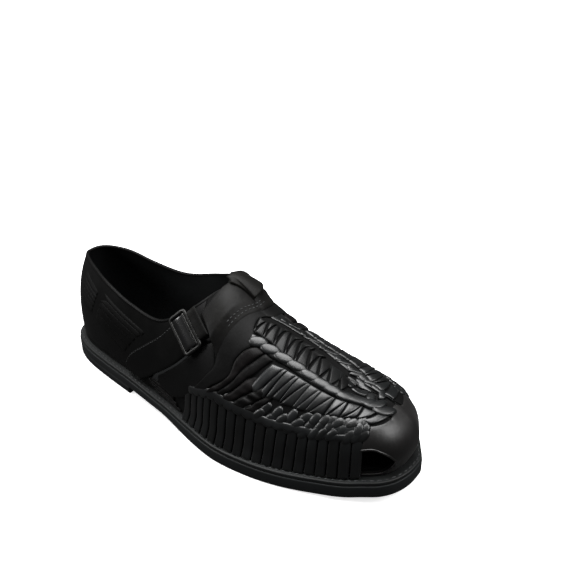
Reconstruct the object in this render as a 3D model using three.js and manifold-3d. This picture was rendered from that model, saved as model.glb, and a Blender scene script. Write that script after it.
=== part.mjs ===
// Closed-toe woven sandal for the right foot, in millimetres.
// +Y points to the toe, +X to the outer side, +Z up; the origin lies under the middle of the sole, on the ground.
import * as THREE from 'three';
import { mergeVertices } from 'three/addons/utils/BufferGeometryUtils.js';
import Module from 'manifold-3d';

const wasm = await Module();
wasm.setup();

// Driving dimensions
const length = 295;
const ballWidth = 102.6;
const instepHeight = 97;
const toeSpring = 8;
const springStart = 0.70;
const heelLift = 5.3;
const heelLength = 84;
const soleThickness = 8.8;
const soleChamfer = 1;
const midsoleThickness = 2.5;
const midsoleInset = 0.4;
const wallThickness = 2;
const wallBulge = 6.5;
const ledgeWidth = 8;
const insoleThickness = 3;
const insoleClearance = 1;
const gap = 0.3;
const stripPitch = 6.9;
const stripRelief = 0.9;
const stripShoulder = 0.16;
const plateRelief = 0.5;
const knotRelief = 1.3;
const slitSpan = 0.055;
const toolReach = 7;
const strapThickness = 2;
const tabThickness = 2;
const sleeveThickness = 1.8;
const sleeveArch = 2;
const bandClearance = 0.5;
const sleeveClearance = 0.7;
const buckleWidth = 29;
const buckleReach = 16;
const buckleBar = 2.6;
const buckleThickness = 2.2;
const buckleCorner = 2.5;
const buckleClearance = 0.8;

// Sections from the heel's back to the tip of the toe, as shares of the driving dimensions.
// along: share of the length; lateral, medial: outline, shares of half the ball width;
// top...: where the wall ends, at the collar or on the instep's crest; rise...: its height, shares of the instep;
// turn: degrees that the wall has turned there; full: how square the wall bends; bulge: share of the wall's bulge.
const SECTIONS = [
  {
    along: 0.000, lateral: -0.045, medial: -0.045, turn: 52, full: 0.80, bulge: 0.185,
    topAlong: 0.036, topLateral: -0.045, topMedial: -0.045, riseLateral: 0.820, riseMedial: 0.820,
  },
  {
    along: 0.015, lateral: 0.273, medial: -0.337, turn: 52, full: 0.80, bulge: 0.185,
    topAlong: 0.042, topLateral: 0.065, topMedial: -0.200, riseLateral: 0.820, riseMedial: 0.820,
  },
  {
    along: 0.050, lateral: 0.437, medial: -0.532, turn: 52, full: 0.80, bulge: 0.185,
    topAlong: 0.068, topLateral: 0.170, topMedial: -0.330, riseLateral: 0.820, riseMedial: 0.815,
  },
  {
    along: 0.100, lateral: 0.548, medial: -0.649, turn: 52, full: 0.80, bulge: 0.185,
    topAlong: 0.115, topLateral: 0.290, topMedial: -0.445, riseLateral: 0.815, riseMedial: 0.793,
  },
  {
    along: 0.180, lateral: 0.628, medial: -0.702, turn: 52, full: 0.80, bulge: 0.308,
    topAlong: 0.190, topLateral: 0.430, topMedial: -0.530, riseLateral: 0.788, riseMedial: 0.742,
  },
  {
    along: 0.280, lateral: 0.700, medial: -0.653, turn: 52, full: 0.85, bulge: 0.231,
    topAlong: 0.285, topLateral: 0.520, topMedial: -0.590, riseLateral: 0.737, riseMedial: 0.727,
  },
  {
    along: 0.400, lateral: 0.780, medial: -0.669, turn: 54, full: 0.90, bulge: 0.154,
    topAlong: 0.393, topLateral: 0.560, topMedial: -0.610, riseLateral: 0.732, riseMedial: 0.825,
  },
  {
    along: 0.500, lateral: 0.893, medial: -0.766, turn: 66, full: 1.05, bulge: 0.154,
    topAlong: 0.475, topLateral: 0.420, topMedial: -0.400, riseLateral: 0.890, riseMedial: 0.950,
  },
  {
    along: 0.600, lateral: 1.000, medial: -0.903, turn: 90, full: 1.15, bulge: 0.231,
    topAlong: 0.519, topLateral: -0.050, topMedial: -0.050, riseLateral: 0.990, riseMedial: 0.990,
  },
  {
    along: 0.680, lateral: 0.981, medial: -0.981, turn: 90, full: 1.20, bulge: 0.308,
    topAlong: 0.600, topLateral: -0.050, topMedial: -0.050, riseLateral: 0.880, riseMedial: 0.880,
  },
  {
    along: 0.760, lateral: 0.897, medial: -1.000, turn: 90, full: 1.15, bulge: 0.385,
    topAlong: 0.692, topLateral: -0.060, topMedial: -0.060, riseLateral: 0.780, riseMedial: 0.780,
  },
  {
    along: 0.840, lateral: 0.750, medial: -0.951, turn: 90, full: 1.00, bulge: 0.538,
    topAlong: 0.766, topLateral: -0.090, topMedial: -0.090, riseLateral: 0.690, riseMedial: 0.690,
  },
  {
    along: 0.900, lateral: 0.604, medial: -0.854, turn: 90, full: 0.85, bulge: 0.769,
    topAlong: 0.814, topLateral: -0.110, topMedial: -0.110, riseLateral: 0.634, riseMedial: 0.634,
  },
  {
    along: 0.950, lateral: 0.415, medial: -0.704, turn: 90, full: 0.78, bulge: 0.923,
    topAlong: 0.838, topLateral: -0.125, topMedial: -0.125, riseLateral: 0.598, riseMedial: 0.598,
  },
  {
    along: 0.985, lateral: 0.228, medial: -0.431, turn: 90, full: 0.75, bulge: 1.000,
    topAlong: 0.847, topLateral: -0.125, topMedial: -0.125, riseLateral: 0.582, riseMedial: 0.582,
  },
  {
    along: 1.000, lateral: -0.199, medial: -0.199, turn: 90, full: 0.75, bulge: 1.000,
    topAlong: 0.850, topLateral: -0.125, topMedial: -0.125, riseLateral: 0.577, riseMedial: 0.577,
  },
];
const tipRow = SECTIONS.length - 1;
const loopRows = 2 * tipRow;
const crestRow = 8;
const roundRows = 3;

// Cells between two sections: of the flat plates around the heel and the toe, of the plates elsewhere, and of the
// upper behind the strips and under the toe cap.
const fineCells = 5;
const plainCells = 3;
const counterColumns = 15;
const capColumns = 9;
const runSamples = 200;

// The sole's height along its length: under is a share of the heel's lift, thick a share of the sole's thickness.
const SOLE = [
  { along: 0.00, under: 1.00, thick: 0.784 },
  { along: 0.26, under: 1.00, thick: 0.784 },
  { along: 0.40, under: 0.60, thick: 0.740 },
  { along: 0.54, under: 0.00, thick: 1.000 },
  { along: 1.00, under: 0.00, thick: 1.000 },
];

// The welt's ledge outside the upper, as shares of its greatest width.
const LEDGE = [
  { along: 0.00, share: 0.5625 },
  { along: 0.30, share: 0.6250 },
  { along: 0.60, share: 0.6875 },
  { along: 0.85, share: 0.8750 },
  { along: 1.00, share: 1.0000 },
];

// Height share of the wall where the side strips end under the weave.
const STRIP_TOP = [
  { row: 0, share: 0.26 },
  { row: 8, share: 0.26 },
  { row: 11, share: 0.35 },
  { row: 13, share: 0.43 },
  { row: 15, share: 0.43 },
];
const stripsStart = 6.9;
const capStart = 12.7;
const weaveStart = 9.2;
const veinShare = 0.79;
const veinHalf = 0.02;
const grooveShare = 0.015;
const knotShare = 0.07;
const knotFall = 0.05;
const veinFall = 0.02;
const crownShare = 0.91;

/** Value of a table's column at x, eased between rows. */
function ease(table, key, x, column) {
  let row = 0;
  while (row < table.length - 2 && x > table[row + 1][key]) row += 1;
  const from = table[row];
  const to = table[row + 1];
  const share = THREE.MathUtils.clamp((x - from[key]) / (to[key] - from[key]), 0, 1);
  return THREE.MathUtils.lerp(from[column], to[column], share * share * (3 - 2 * share));
}

/** Catmull-Rom value at share f between b and c. */
function blend(a, b, c, d, f) {
  return 0.5 * (2 * b + (c - a) * f + (2 * a - 5 * b + 4 * c - d) * f ** 2 + (3 * b - 3 * c + d - a) * f ** 3);
}

/** One column of the sections around the closed loop: outer side to the tip, then back along the inner side. */
function loopValue(row, lateral, medial) {
  const start = Math.floor(row);
  const values = [-1, 0, 1, 2].map((step) => {
    const at = (((start + step) % loopRows) + loopRows) % loopRows;
    return at <= tipRow ? SECTIONS[at][lateral] : SECTIONS[loopRows - at][medial];
  });
  return blend(...values, row - start);
}

const shareAlong = (y) => y / length + 0.5;

function outlineAt(row) {
  const x = loopValue(row, 'lateral', 'medial') * ballWidth / 2;
  return new THREE.Vector2(x, (loopValue(row, 'along', 'along') - 0.5) * length);
}

function outwardAt(row) {
  const step = 0.02;
  const run = outlineAt(row + step).sub(outlineAt(row - step)).normalize();
  return new THREE.Vector2(run.y, -run.x);
}

const springAt = (share) => toeSpring * Math.max(0, (share - springStart) / (1 - springStart)) ** 2;
const underAt = (y) => heelLift * ease(SOLE, 'along', shareAlong(y), 'under') + springAt(shareAlong(y));
const soleTopAt = (y) => underAt(y) + soleThickness * ease(SOLE, 'along', shareAlong(y), 'thick');
const midsoleTopAt = (y) => soleTopAt(y) + gap + midsoleThickness;

function featherAt(row) {
  const edge = outlineAt(row);
  return edge.addScaledVector(outwardAt(row), -ledgeWidth * ease(LEDGE, 'along', shareAlong(edge.y), 'share'));
}

/** Where the wall ends above a place of the loop; both sides share the crest ahead of the throat. */
function topAt(row) {
  const at = ((row % loopRows) + loopRows) % loopRows;
  const read = (place) => [
    loopValue(place, 'topLateral', 'topMedial') * ballWidth / 2,
    (loopValue(place, 'topAlong', 'topAlong') - 0.5) * length,
    loopValue(place, 'riseLateral', 'riseMedial') * instepHeight,
  ];
  const closed = at >= crestRow && at <= loopRows - crestRow;
  const here = read(at);
  const there = closed ? read(loopRows - at) : here;
  const turn = closed ? 90 : Math.min(90, loopValue(at, 'turn', 'turn'));
  return { point: here.map((value, axis) => (value + there[axis]) / 2), turn: THREE.MathUtils.degToRad(turn) };
}

/** Point of the upper's smooth outer form at a loop row and a height share, 0 at the feather and 1 at the top. */
function formAt(row, share) {
  const foot = featherAt(row);
  const top = topAt(row);
  const full = loopValue(row, 'full', 'full');
  const bulge = wallBulge * loopValue(row, 'bulge', 'bulge') * Math.sin(Math.PI * Math.min(1, share) ** 0.7);
  const angle = share * top.turn;
  const cosine = Math.max(0, Math.cos(angle));
  const inward = (1 - cosine ** full) / (1 - Math.max(0, Math.cos(top.turn)) ** full);
  const upward = (Math.sin(angle) / Math.sin(top.turn)) ** full;
  const base = midsoleTopAt(foot.y) + gap;
  const out = outwardAt(row).multiplyScalar(bulge);
  return new THREE.Vector3(
    THREE.MathUtils.lerp(foot.x, top.point[0], inward) + out.x,
    THREE.MathUtils.lerp(foot.y, top.point[1], inward) + out.y,
    THREE.MathUtils.lerp(base, top.point[2], upward),
  );
}

function sideNormalAt(row, share) {
  const step = 0.03;
  const low = Math.max(0.004, share - step);
  const high = Math.min(0.985, share + step);
  const along = formAt(row + step, (low + high) / 2).sub(formAt(row - step, (low + high) / 2));
  const up = formAt(row, high).sub(formAt(row, low));
  return along.cross(up).normalize();
}

/** Outward normal of the form; on the crest it is the mean of both sides. */
function normalAt(row, share) {
  const normal = sideNormalAt(row, share);
  const at = ((row % loopRows) + loopRows) % loopRows;
  const closed = at >= crestRow && at <= loopRows - crestRow;
  if (closed && share > 0.9) {
    const weight = (share - 0.9) / 0.2;
    normal.lerp(sideNormalAt(loopRows - row, share), weight).normalize();
  }
  return normal;
}

/** Point over the form: across runs from 0 at the outer feather over the crest at 1 to 2 at the inner feather. */
function overAt(row, across, lift) {
  const place = across <= 1 ? [row, across] : [loopRows - row, 2 - across];
  return formAt(...place).addScaledVector(normalAt(...place), lift);
}

/** Point over one side of the form at a loop row; a share past 1 goes on beyond the wall's rim. */
function besideAt(row, share, lift) {
  return formAt(row, share).addScaledVector(normalAt(row, share), lift);
}

/** Closed mesh from points and triangles, with shared points merged and slivers without area dropped. */
function toGeometry(points, triangles) {
  const loose = new THREE.BufferGeometry();
  loose.setAttribute('position', new THREE.Float32BufferAttribute(points.flatMap((p) => [p.x, p.y, p.z]), 3));
  loose.setIndex(triangles.flat());
  const merged = mergeVertices(loose, 1e-3);
  const index = Array.from(merged.getIndex().array);
  const kept = [];
  for (let i = 0; i < index.length; i += 3) {
    const [a, b, c] = index.slice(i, i + 3);
    if (a !== b && b !== c && c !== a) kept.push(a, b, c);
  }
  merged.setIndex(kept);
  return merged;
}

function toSolid(geometry) {
  const vertProperties = new Float32Array(geometry.getAttribute('position').array);
  const triVerts = new Uint32Array(geometry.getIndex().array);
  return new wasm.Manifold(new wasm.Mesh({ numProp: 3, vertProperties, triVerts }));
}

function fromSolid(solid) {
  const mesh = solid.getMesh();
  const geometry = new THREE.BufferGeometry();
  geometry.setAttribute('position', new THREE.Float32BufferAttribute(mesh.vertProperties, 3));
  geometry.setIndex(Array.from(mesh.triVerts));
  return geometry;
}

/** Triangles of a strip of quads between two rings of point numbers. */
function strip(low, high, closed = true) {
  const triangles = [];
  const count = closed ? low.length : low.length - 1;
  for (let i = 0; i < count; i += 1) {
    const j = (i + 1) % low.length;
    triangles.push([low[i], low[j], high[j]], [low[i], high[j], high[i]]);
  }
  return triangles;
}

/** Symmetric loop rows: the outer side from the heel to the tip, then the inner side back. */
function bothSides(side) {
  const back = side.slice(1, -1).reverse().map((row) => loopRows - row);
  return [...side, ...back];
}

/** Rows of one side for the flat plates, closer together around the heel and the toe. */
function plateSide() {
  const rows = [0];
  while (rows.at(-1) < tipRow - 1e-9) {
    const row = Math.floor(rows.at(-1) + 1e-9);
    const fine = row < roundRows || row >= tipRow - roundRows;
    rows.push(rows.at(-1) + 1 / (fine ? fineCells : plainCells));
  }
  const cells = fineCells * plainCells;
  return rows.map((row) => Math.round(row * cells) / cells);
}

const plateRows = bothSides(plateSide());

/** Solid of stacked rings over the loop, each ring a function from loop row to point; its caps span side to side. */
function layeredSolid(rings) {
  const count = plateRows.length;
  const half = count / 2;
  const points = rings.flatMap((ring) => plateRows.map(ring));
  const numbers = rings.map((_, ring) => plateRows.map((row, i) => ring * count + i));
  const triangles = [];
  for (let ring = 0; ring < rings.length - 1; ring += 1) triangles.push(...strip(numbers[ring], numbers[ring + 1]));
  const cap = (ring, flip) => {
    for (let i = 0; i < half; i += 1) {
      const [a, b] = [ring[i], ring[i + 1]];
      const [c, d] = [ring[(count - i - 1) % count], ring[(count - i) % count]];
      const quad = [[a, b, c], [a, c, d]].map((corner) => (flip ? corner.reverse() : corner));
      triangles.push(...quad);
    }
  };
  cap(numbers[0], true);
  cap(numbers[rings.length - 1], false);
  return toGeometry(points, triangles);
}

/** Ring of the sole's outline moved inward, at a height that depends on the place along the foot. */
function outlineRing(inset, heightAt) {
  return (row) => {
    const edge = outlineAt(row).addScaledVector(outwardAt(row), -inset);
    return new THREE.Vector3(edge.x, edge.y, heightAt(edge.y));
  };
}

function makeOutsole() {
  const body = layeredSolid([
    outlineRing(soleChamfer, underAt),
    outlineRing(0, (y) => underAt(y) + soleChamfer),
    outlineRing(0, (y) => soleTopAt(y) - soleChamfer / 2),
    outlineRing(soleChamfer / 2, soleTopAt),
  ]);
  const lift = layeredSolid([
    outlineRing(soleChamfer, () => 0),
    outlineRing(0, () => soleChamfer),
    outlineRing(0, () => heelLift + 2 * soleChamfer),
    outlineRing(soleChamfer, () => heelLift + 3 * soleChamfer),
  ]);
  const breast = heelLength - length / 2;
  const ahead = new THREE.BoxGeometry(2 * ballWidth, length, 4 * heelLift);
  ahead.deleteAttribute('normal');
  ahead.deleteAttribute('uv');
  ahead.translate(0, breast + length / 2, 0);
  const heel = toSolid(lift).subtract(toSolid(mergeVertices(ahead)));
  return fromSolid(toSolid(body).add(heel));
}

function makeMidsole() {
  return layeredSolid([
    outlineRing(midsoleInset, (y) => soleTopAt(y) + gap),
    outlineRing(midsoleInset, midsoleTopAt),
  ]);
}

function makeInsole() {
  const ring = (height) => (row) => {
    const edge = featherAt(row).addScaledVector(outwardAt(row), -wallThickness - insoleClearance);
    return new THREE.Vector3(edge.x, edge.y, midsoleTopAt(edge.y) + gap + height);
  };
  return layeredSolid([ring(0), ring(insoleThickness)]);
}

/** Loop rows spaced evenly by length along the feather line. */
function evenRows(from, to, count) {
  const samples = Array.from({ length: runSamples + 1 }, (_, i) => from + (to - from) * i / runSamples);
  const run = [0];
  samples.slice(1).forEach((row, i) => run.push(run[i] + featherAt(row).distanceTo(featherAt(samples[i]))));
  return Array.from({ length: count + 1 }, (_, i) => {
    const goal = run[runSamples] * i / count;
    let at = 0;
    while (at < runSamples - 1 && run[at + 1] < goal) at += 1;
    return samples[at] + (samples[at + 1] - samples[at]) * (goal - run[at]) / (run[at + 1] - run[at]);
  });
}

function featherRun(from, to) {
  const rowAt = (i) => from + (to - from) * i / runSamples;
  let run = 0;
  for (let i = 0; i < runSamples; i += 1) run += featherAt(rowAt(i)).distanceTo(featherAt(rowAt(i + 1)));
  return run;
}

/** Columns of one side of the upper: three to each raised strip, and single ones at the counter and the cap. */
function sideColumns() {
  const plain = (rows) => rows.map((row) => ({ row, face: true, coarse: true }));
  const columns = plain(evenRows(0, stripsStart, counterColumns));
  const strips = [[stripsStart, crestRow], [crestRow, capStart]];
  for (const [from, to] of strips) {
    const edges = evenRows(from, to, Math.round(featherRun(from, to) / stripPitch));
    edges.slice(0, -1).forEach((row, i) => {
      const next = edges[i + 1];
      if (i > 0 || from === crestRow) columns.push({ row, face: false, coarse: true });
      columns.push({ row: row + (next - row) * stripShoulder, face: true, coarse: false });
      columns.push({ row: row + (next - row) * (1 - stripShoulder), face: true, coarse: false });
    });
  }
  columns.push(...plain(evenRows(capStart, tipRow, capColumns)));
  return columns;
}

/** Height shares of the upper's grid at a loop row, with the band of the wall that each one belongs to. */
function heightRows(row) {
  const at = Math.min(row, loopRows - row);
  const top = ease(STRIP_TOP, 'row', at, 'share');
  const knot = top + knotShare;
  const weave = veinShare - veinHalf - veinFall;
  return [
    { share: 0, band: 'strip' },
    { share: top * 0.5, band: 'strip' },
    { share: top, band: 'strip' },
    { share: top + grooveShare, band: 'groove' },
    { share: knot, band: 'knot' },
    { share: knot + knotFall, band: 'plate' },
    { share: (knot + knotFall + weave) / 2, band: 'plate' },
    { share: weave, band: 'plate' },
    { share: veinShare - veinHalf, band: 'vein' },
    { share: veinShare + veinHalf, band: 'vein' },
    { share: crownShare, band: 'plate' },
    { share: 1, band: 'plate' },
  ];
}

function reliefAt(column, band, medial) {
  const { row, face } = column;
  if (row >= capStart) return plateRelief;
  if (band === 'strip') return row > stripsStart && face ? stripRelief : 0;
  if (row < weaveStart || band === 'groove') return 0;
  if (band === 'knot') return face ? knotRelief : 0;
  if (band === 'vein' && !medial) return stripRelief;
  return plateRelief;
}

/** Triangles between two chains of points that run beside each other with different spacing. */
function zip(first, second) {
  const triangles = [];
  let i = 0;
  let j = 0;
  while (i < first.length - 1 || j < second.length - 1) {
    const step = j >= second.length - 1 || (i < first.length - 1 && first[i + 1].row <= second[j + 1].row + 1e-9);
    if (step) {
      triangles.push([first[i].number, first[i + 1].number, second[j].number]);
      i += 1;
    } else {
      triangles.push([first[i].number, second[j + 1].number, second[j].number]);
      j += 1;
    }
  }
  return triangles;
}

/** The upper's wall: outer grid with raised strips, inner grid, and the edges that join them. */
function makeWall() {
  const side = sideColumns();
  const lateral = side.map((column) => ({ ...column, place: column.row, medial: false }));
  const back = side.slice(1, -1).reverse();
  const medial = back.map((column) => ({ ...column, place: loopRows - column.row, medial: true }));
  const columns = [...lateral, ...medial];
  const points = [];
  const triangles = [];
  const add = (point) => points.push(point) - 1;

  const outer = columns.map((column) => heightRows(column.place).map(({ share, band }) => {
    const lift = reliefAt(column, band, column.medial);
    return add(formAt(column.place, share).addScaledVector(normalAt(column.place, share), lift));
  }));
  outer.forEach((column) => {
    points[column[0]].z = midsoleTopAt(points[column[0]].y) + gap;
  });
  for (let i = 0; i < columns.length; i += 1) {
    const next = outer[(i + 1) % columns.length];
    triangles.push(...strip(outer[i], next, false).map((corner) => corner.reverse()));
  }

  const innerColumns = columns.filter((column) => column.coarse);
  const innerShares = [0, 0.14, 0.32, 0.52, 0.72, 0.88, 1];
  const inner = innerColumns.map((column) => innerShares.map((share) => {
    const point = formAt(column.place, share).addScaledVector(normalAt(column.place, share), -wallThickness);
    if (share === 0) point.z = midsoleTopAt(point.y) + gap;
    return add(point);
  }));
  for (let i = 0; i < innerColumns.length; i += 1) {
    const next = inner[(i + 1) % innerColumns.length];
    triangles.push(...strip(inner[i], next, false));
  }

  const chain = (grid, list, at) => {
    const ring = list.map((column, i) => ({ row: column.place, number: grid[i].at(at) }));
    return [...ring, { row: loopRows, number: ring[0].number }];
  };
  const sole = zip(chain(outer, columns, 0), chain(inner, innerColumns, 0));
  triangles.push(...sole.map((corner) => corner.reverse()));
  const rimFrom = (ring) => {
    const behind = ring.filter(({ row }) => row >= loopRows - crestRow - 1e-9 && row < loopRows);
    const front = ring.filter(({ row }) => row <= crestRow + 1e-9);
    const ahead = front.map((place) => ({ ...place, row: place.row + loopRows }));
    return [...behind, ...ahead];
  };
  const rim = zip(rimFrom(chain(outer, columns, -1)), rimFrom(chain(inner, innerColumns, -1)));
  triangles.push(...rim);
  return toSolid(toGeometry(points, triangles));
}

/** Rows of [loop row, across] pairs and arches, eased into an even run of steps. */
function smoothRows(rows, steps) {
  const last = rows.length - 1;
  return Array.from({ length: steps + 1 }, (_, i) => {
    const at = last * i / steps;
    const start = Math.min(last - 1, Math.floor(at));
    const pick = (step) => rows[THREE.MathUtils.clamp(start + step, 0, last)];
    const read = (get) => blend(...[-1, 0, 1, 2].map((step) => get(pick(step))), at - start);
    return {
      rear: [read((r) => r.rear[0]), read((r) => r.rear[1])],
      front: [read((r) => r.front[0]), read((r) => r.front[1])],
      arch: read((r) => r.arch ?? 0),
    };
  });
}

/** Solid band over the form. Its section is a polygon of [share from the rear edge to the front edge, lift]. */
function bandSolid(rows, steps, section, place = overAt) {
  const stations = smoothRows(rows, steps);
  const points = [];
  const rings = stations.map(({ rear, front, arch }) => section.map(([share, height]) => {
    const row = THREE.MathUtils.lerp(rear[0], front[0], share);
    const across = THREE.MathUtils.lerp(rear[1], front[1], share);
    return points.push(place(row, across, height + arch * sleeveArch)) - 1;
  }));
  const triangles = rings.slice(1).flatMap((ring, i) => strip(rings[i], ring));
  const flat = section.map(([share, height]) => new THREE.Vector2(share * buckleWidth, height));
  const faces = THREE.ShapeUtils.triangulateShape(flat, []);
  const ends = [rings[0], rings.at(-1)];
  triangles.push(...faces.map(([a, b, c]) => [ends[0][c], ends[0][b], ends[0][a]]));
  triangles.push(...faces.map(([a, b, c]) => [ends[1][a], ends[1][b], ends[1][c]]));
  const geometry = toGeometry(points, triangles);
  if (toSolid(geometry).volume() < 0) {
    const index = geometry.getIndex().array;
    for (let i = 0; i < index.length; i += 3) [index[i], index[i + 1]] = [index[i + 1], index[i]];
  }
  return geometry;
}

/** Flat section of a band between two lifts, with points across so that it follows the form. */
function flatSection(low, high, cells = 3) {
  const shares = Array.from({ length: cells + 1 }, (_, i) => i / cells);
  return [...shares.map((share) => [share, low]), ...shares.reverse().map((share) => [share, high])];
}

/** The same cut through both sides of the upper, over rows of the outer side. */
function cutBothSides(rows, steps) {
  const section = [[0, -toolReach], [1, -toolReach], [1, toolReach], [0, toolReach]];
  const mirrored = ([row, share]) => [loopRows - row, share];
  const other = rows.map(({ rear, front }) => ({ rear: mirrored(rear), front: mirrored(front) }));
  return [rows, other].map((path) => toSolid(bandSolid(path, steps, section, besideAt)));
}

/** A slit through both sides of the upper, from one [row, share] to another. */
function slits(from, to) {
  const half = slitSpan / 2;
  const rows = [from, to].map(([row, share]) => ({ rear: [row - half, share], front: [row + half, share] }));
  return cutBothSides(rows, 1);
}

// Side opening between the counter and the vamp: its rear and front edges from near the sole to past the collar.
const OPENING = [
  { rear: [5.62, 0.09], front: [5.72, 0.08] },
  { rear: [5.98, 0.36], front: [6.50, 0.35] },
  { rear: [6.22, 0.62], front: [7.45, 0.55] },
  { rear: [6.42, 0.84], front: [7.16, 0.84] },
  { rear: [6.52, 1.08], front: [6.98, 1.08] },
];

// The opening at the corner of the toe cap: flat towards the heel and round towards the tip.
const CAP_OPENING = [
  { rear: [12.70, 0.02], front: [12.72, 0.29] },
  { rear: [13.25, 0.02], front: [13.25, 0.295] },
  { rear: [13.75, 0.04], front: [13.75, 0.22] },
  { rear: [14.02, 0.09], front: [14.02, 0.13] },
];

// Slits of the weave: how many, where the first one starts under the vein, the step and the slant between rows.
const weaveSlits = { count: 10, row: 9.75, step: 0.3, slant: 0.5, top: 0.73, foot: 0.54 };
// Slits of the counter: rows between them, and where the first one runs from and to.
const counterSlits = { shifts: [0, 0.45, 0.9], from: [4.42, 0.72], to: [5.5, 0.6], fall: [0.3, 0.42] };

// The strap that carries the buckle, from the welt up to the buckle on the outer side.
const TAB = [
  { rear: [4.95, 0.05], front: [5.43, 0.05] },
  { rear: [5.05, 0.24], front: [5.86, 0.20] },
  { rear: [5.75, 0.56], front: [6.48, 0.38] },
  { rear: [6.45, 0.88], front: [7.08, 0.55] },
  { rear: [6.68, 0.92], front: [7.21, 0.585] },
];

// The sleeve folded over the strap on the instep, from its outer edge over the crest to its inner edge.
const SLEEVE = [
  { rear: [7.22, 0.860], front: [8.12, 0.460], arch: 0 },
  { rear: [7.45, 0.900], front: [8.38, 0.620], arch: 0 },
  { rear: [7.70, 0.950], front: [8.70, 0.800], arch: 0 },
  { rear: [8.01, 1.000], front: [9.02, 1.000], arch: 0.4 },
  { rear: [7.88, 1.080], front: [8.92, 1.120], arch: 1.0 },
  { rear: [7.62, 1.180], front: [8.60, 1.280], arch: 0.6 },
];

// The strap's edges inside the sleeve, as shares of the way from the sleeve's rear edge to its front edge.
const strapRear = 0.09;
const strapFront = 0.69;

function within(row) {
  const place = (share) => row.rear.map((value, i) => THREE.MathUtils.lerp(value, row.front[i], share));
  return { rear: place(strapRear), front: place(strapFront), arch: row.arch };
}

// The instep strap, from under the buckle through the sleeve and down the inner side to the welt.
const STRAP = [
  { rear: [6.74, 0.915], front: [7.26, 0.590], arch: 0 },
  { rear: [7.02, 0.885], front: [7.58, 0.595], arch: 0 },
  ...SLEEVE.map(within),
  { rear: [6.75, 1.270], front: [7.45, 1.420], arch: 0 },
  { rear: [5.75, 1.450], front: [6.70, 1.620], arch: 0 },
  { rear: [4.85, 1.700], front: [5.95, 1.800], arch: 0 },
  { rear: [4.65, 1.930], front: [5.50, 1.950], arch: 0 },
];

function makeUpper() {
  const tools = [...cutBothSides(OPENING, 10), ...cutBothSides(CAP_OPENING, 8)];
  for (let i = 0; i < weaveSlits.count; i += 1) {
    const row = weaveSlits.row + i * weaveSlits.step;
    tools.push(...slits([row, weaveSlits.top], [row - weaveSlits.slant, weaveSlits.foot]));
  }
  for (const shift of counterSlits.shifts) {
    const ends = [counterSlits.from, counterSlits.to];
    tools.push(...slits(...ends.map(([row, share], i) => [row - shift, share - shift * counterSlits.fall[i]])));
  }
  const cut = tools.reduce((wall, tool) => wall.subtract(tool), makeWall());
  const bodies = cut.decompose().sort((a, b) => b.volume() - a.volume());
  return fromSolid(bodies[0]);
}

function makeTab() {
  return bandSolid(TAB, 10, flatSection(bandClearance, bandClearance + tabThickness));
}

function makeStrap() {
  return bandSolid(STRAP, 30, flatSection(bandClearance, bandClearance + strapThickness));
}

function makeSleeve() {
  const roof = bandClearance + strapThickness + sleeveClearance;
  const foot = bandClearance;
  const top = roof + sleeveThickness;
  return bandSolid(SLEEVE, 16, [
    [0, foot], [0.05, foot], [0.065, roof], [0.36, roof], [0.6, roof], [0.72, roof], [0.76, foot], [1, foot],
    [1, foot + sleeveThickness], [0.82, foot + sleeveThickness], [0.75, top], [0.5, top], [0.25, top],
    [0.03, top], [0, roof],
  ]);
}

/** The buckle: a flat rectangular frame over the end of the tab, with the end of the strap beside it. */
function makeBuckle() {
  const [rear, front] = [[6.53, 0.88, 7.10, 0.55], [7.00, 0.92, 7.52, 0.60]];
  const lift = bandClearance + tabThickness + buckleClearance;
  const mid = (bar) => overAt((bar[0] + bar[2]) / 2, (bar[1] + bar[3]) / 2, lift);
  const across = overAt(rear[0], rear[1], lift).sub(overAt(rear[2], rear[3], lift)).normalize();
  const out = normalAt((rear[0] + front[2]) / 2, (rear[1] + front[3]) / 2);
  const along = new THREE.Vector3().crossVectors(across, out).normalize();
  out.crossVectors(along, across).normalize();
  const frameShape = (width, height, corner) => {
    const shape = new THREE.Path();
    const [w, h] = [width / 2, height / 2];
    shape.moveTo(-w + corner, -h);
    shape.lineTo(w - corner, -h);
    shape.absarc(w - corner, -h + corner, corner, -Math.PI / 2, 0);
    shape.absarc(w - corner, h - corner, corner, 0, Math.PI / 2);
    shape.absarc(-w + corner, h - corner, corner, Math.PI / 2, Math.PI);
    shape.absarc(-w + corner, -h + corner, corner, Math.PI, 1.5 * Math.PI);
    return shape.getPoints(3);
  };
  const shape = new THREE.Shape(frameShape(buckleReach, buckleWidth, buckleCorner));
  const inside = [buckleReach, buckleWidth].map((size) => size - 2 * buckleBar);
  shape.holes.push(new THREE.Path(frameShape(...inside, buckleCorner / 4)));
  const sweep = { depth: buckleThickness, bevelEnabled: false, curveSegments: 3 };
  const geometry = new THREE.ExtrudeGeometry(shape, sweep);
  const centre = mid(rear).add(mid(front)).multiplyScalar(0.5);
  geometry.applyMatrix4(new THREE.Matrix4().makeBasis(along, across, out).setPosition(centre));
  return geometry;
}

const leather = { color: 0x1b1a1a, roughness: 0.38, metalness: 0 };
const PIECES = [
  { name: 'outsole', make: makeOutsole, look: { color: 0x2d3233, roughness: 0.8, metalness: 0 } },
  { name: 'midsole', make: makeMidsole, look: { color: 0x1c1f20, roughness: 0.7, metalness: 0 } },
  { name: 'insole', make: makeInsole, look: { color: 0x17181a, roughness: 0.75, metalness: 0 } },
  { name: 'upper', make: makeUpper, look: leather },
  { name: 'quarter_tab', make: makeTab, look: leather },
  { name: 'instep_strap', make: makeStrap, look: leather },
  { name: 'instep_sleeve', make: makeSleeve, look: leather },
  { name: 'buckle', make: makeBuckle, look: { color: 0x222326, roughness: 0.35, metalness: 0.9 } },
];

const sandal = new THREE.Group();
for (const { name, make, look } of PIECES) {
  const mesh = new THREE.Mesh(make(), new THREE.MeshStandardMaterial(look));
  mesh.name = name;
  sandal.add(mesh);
}

export default sandal;
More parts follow.
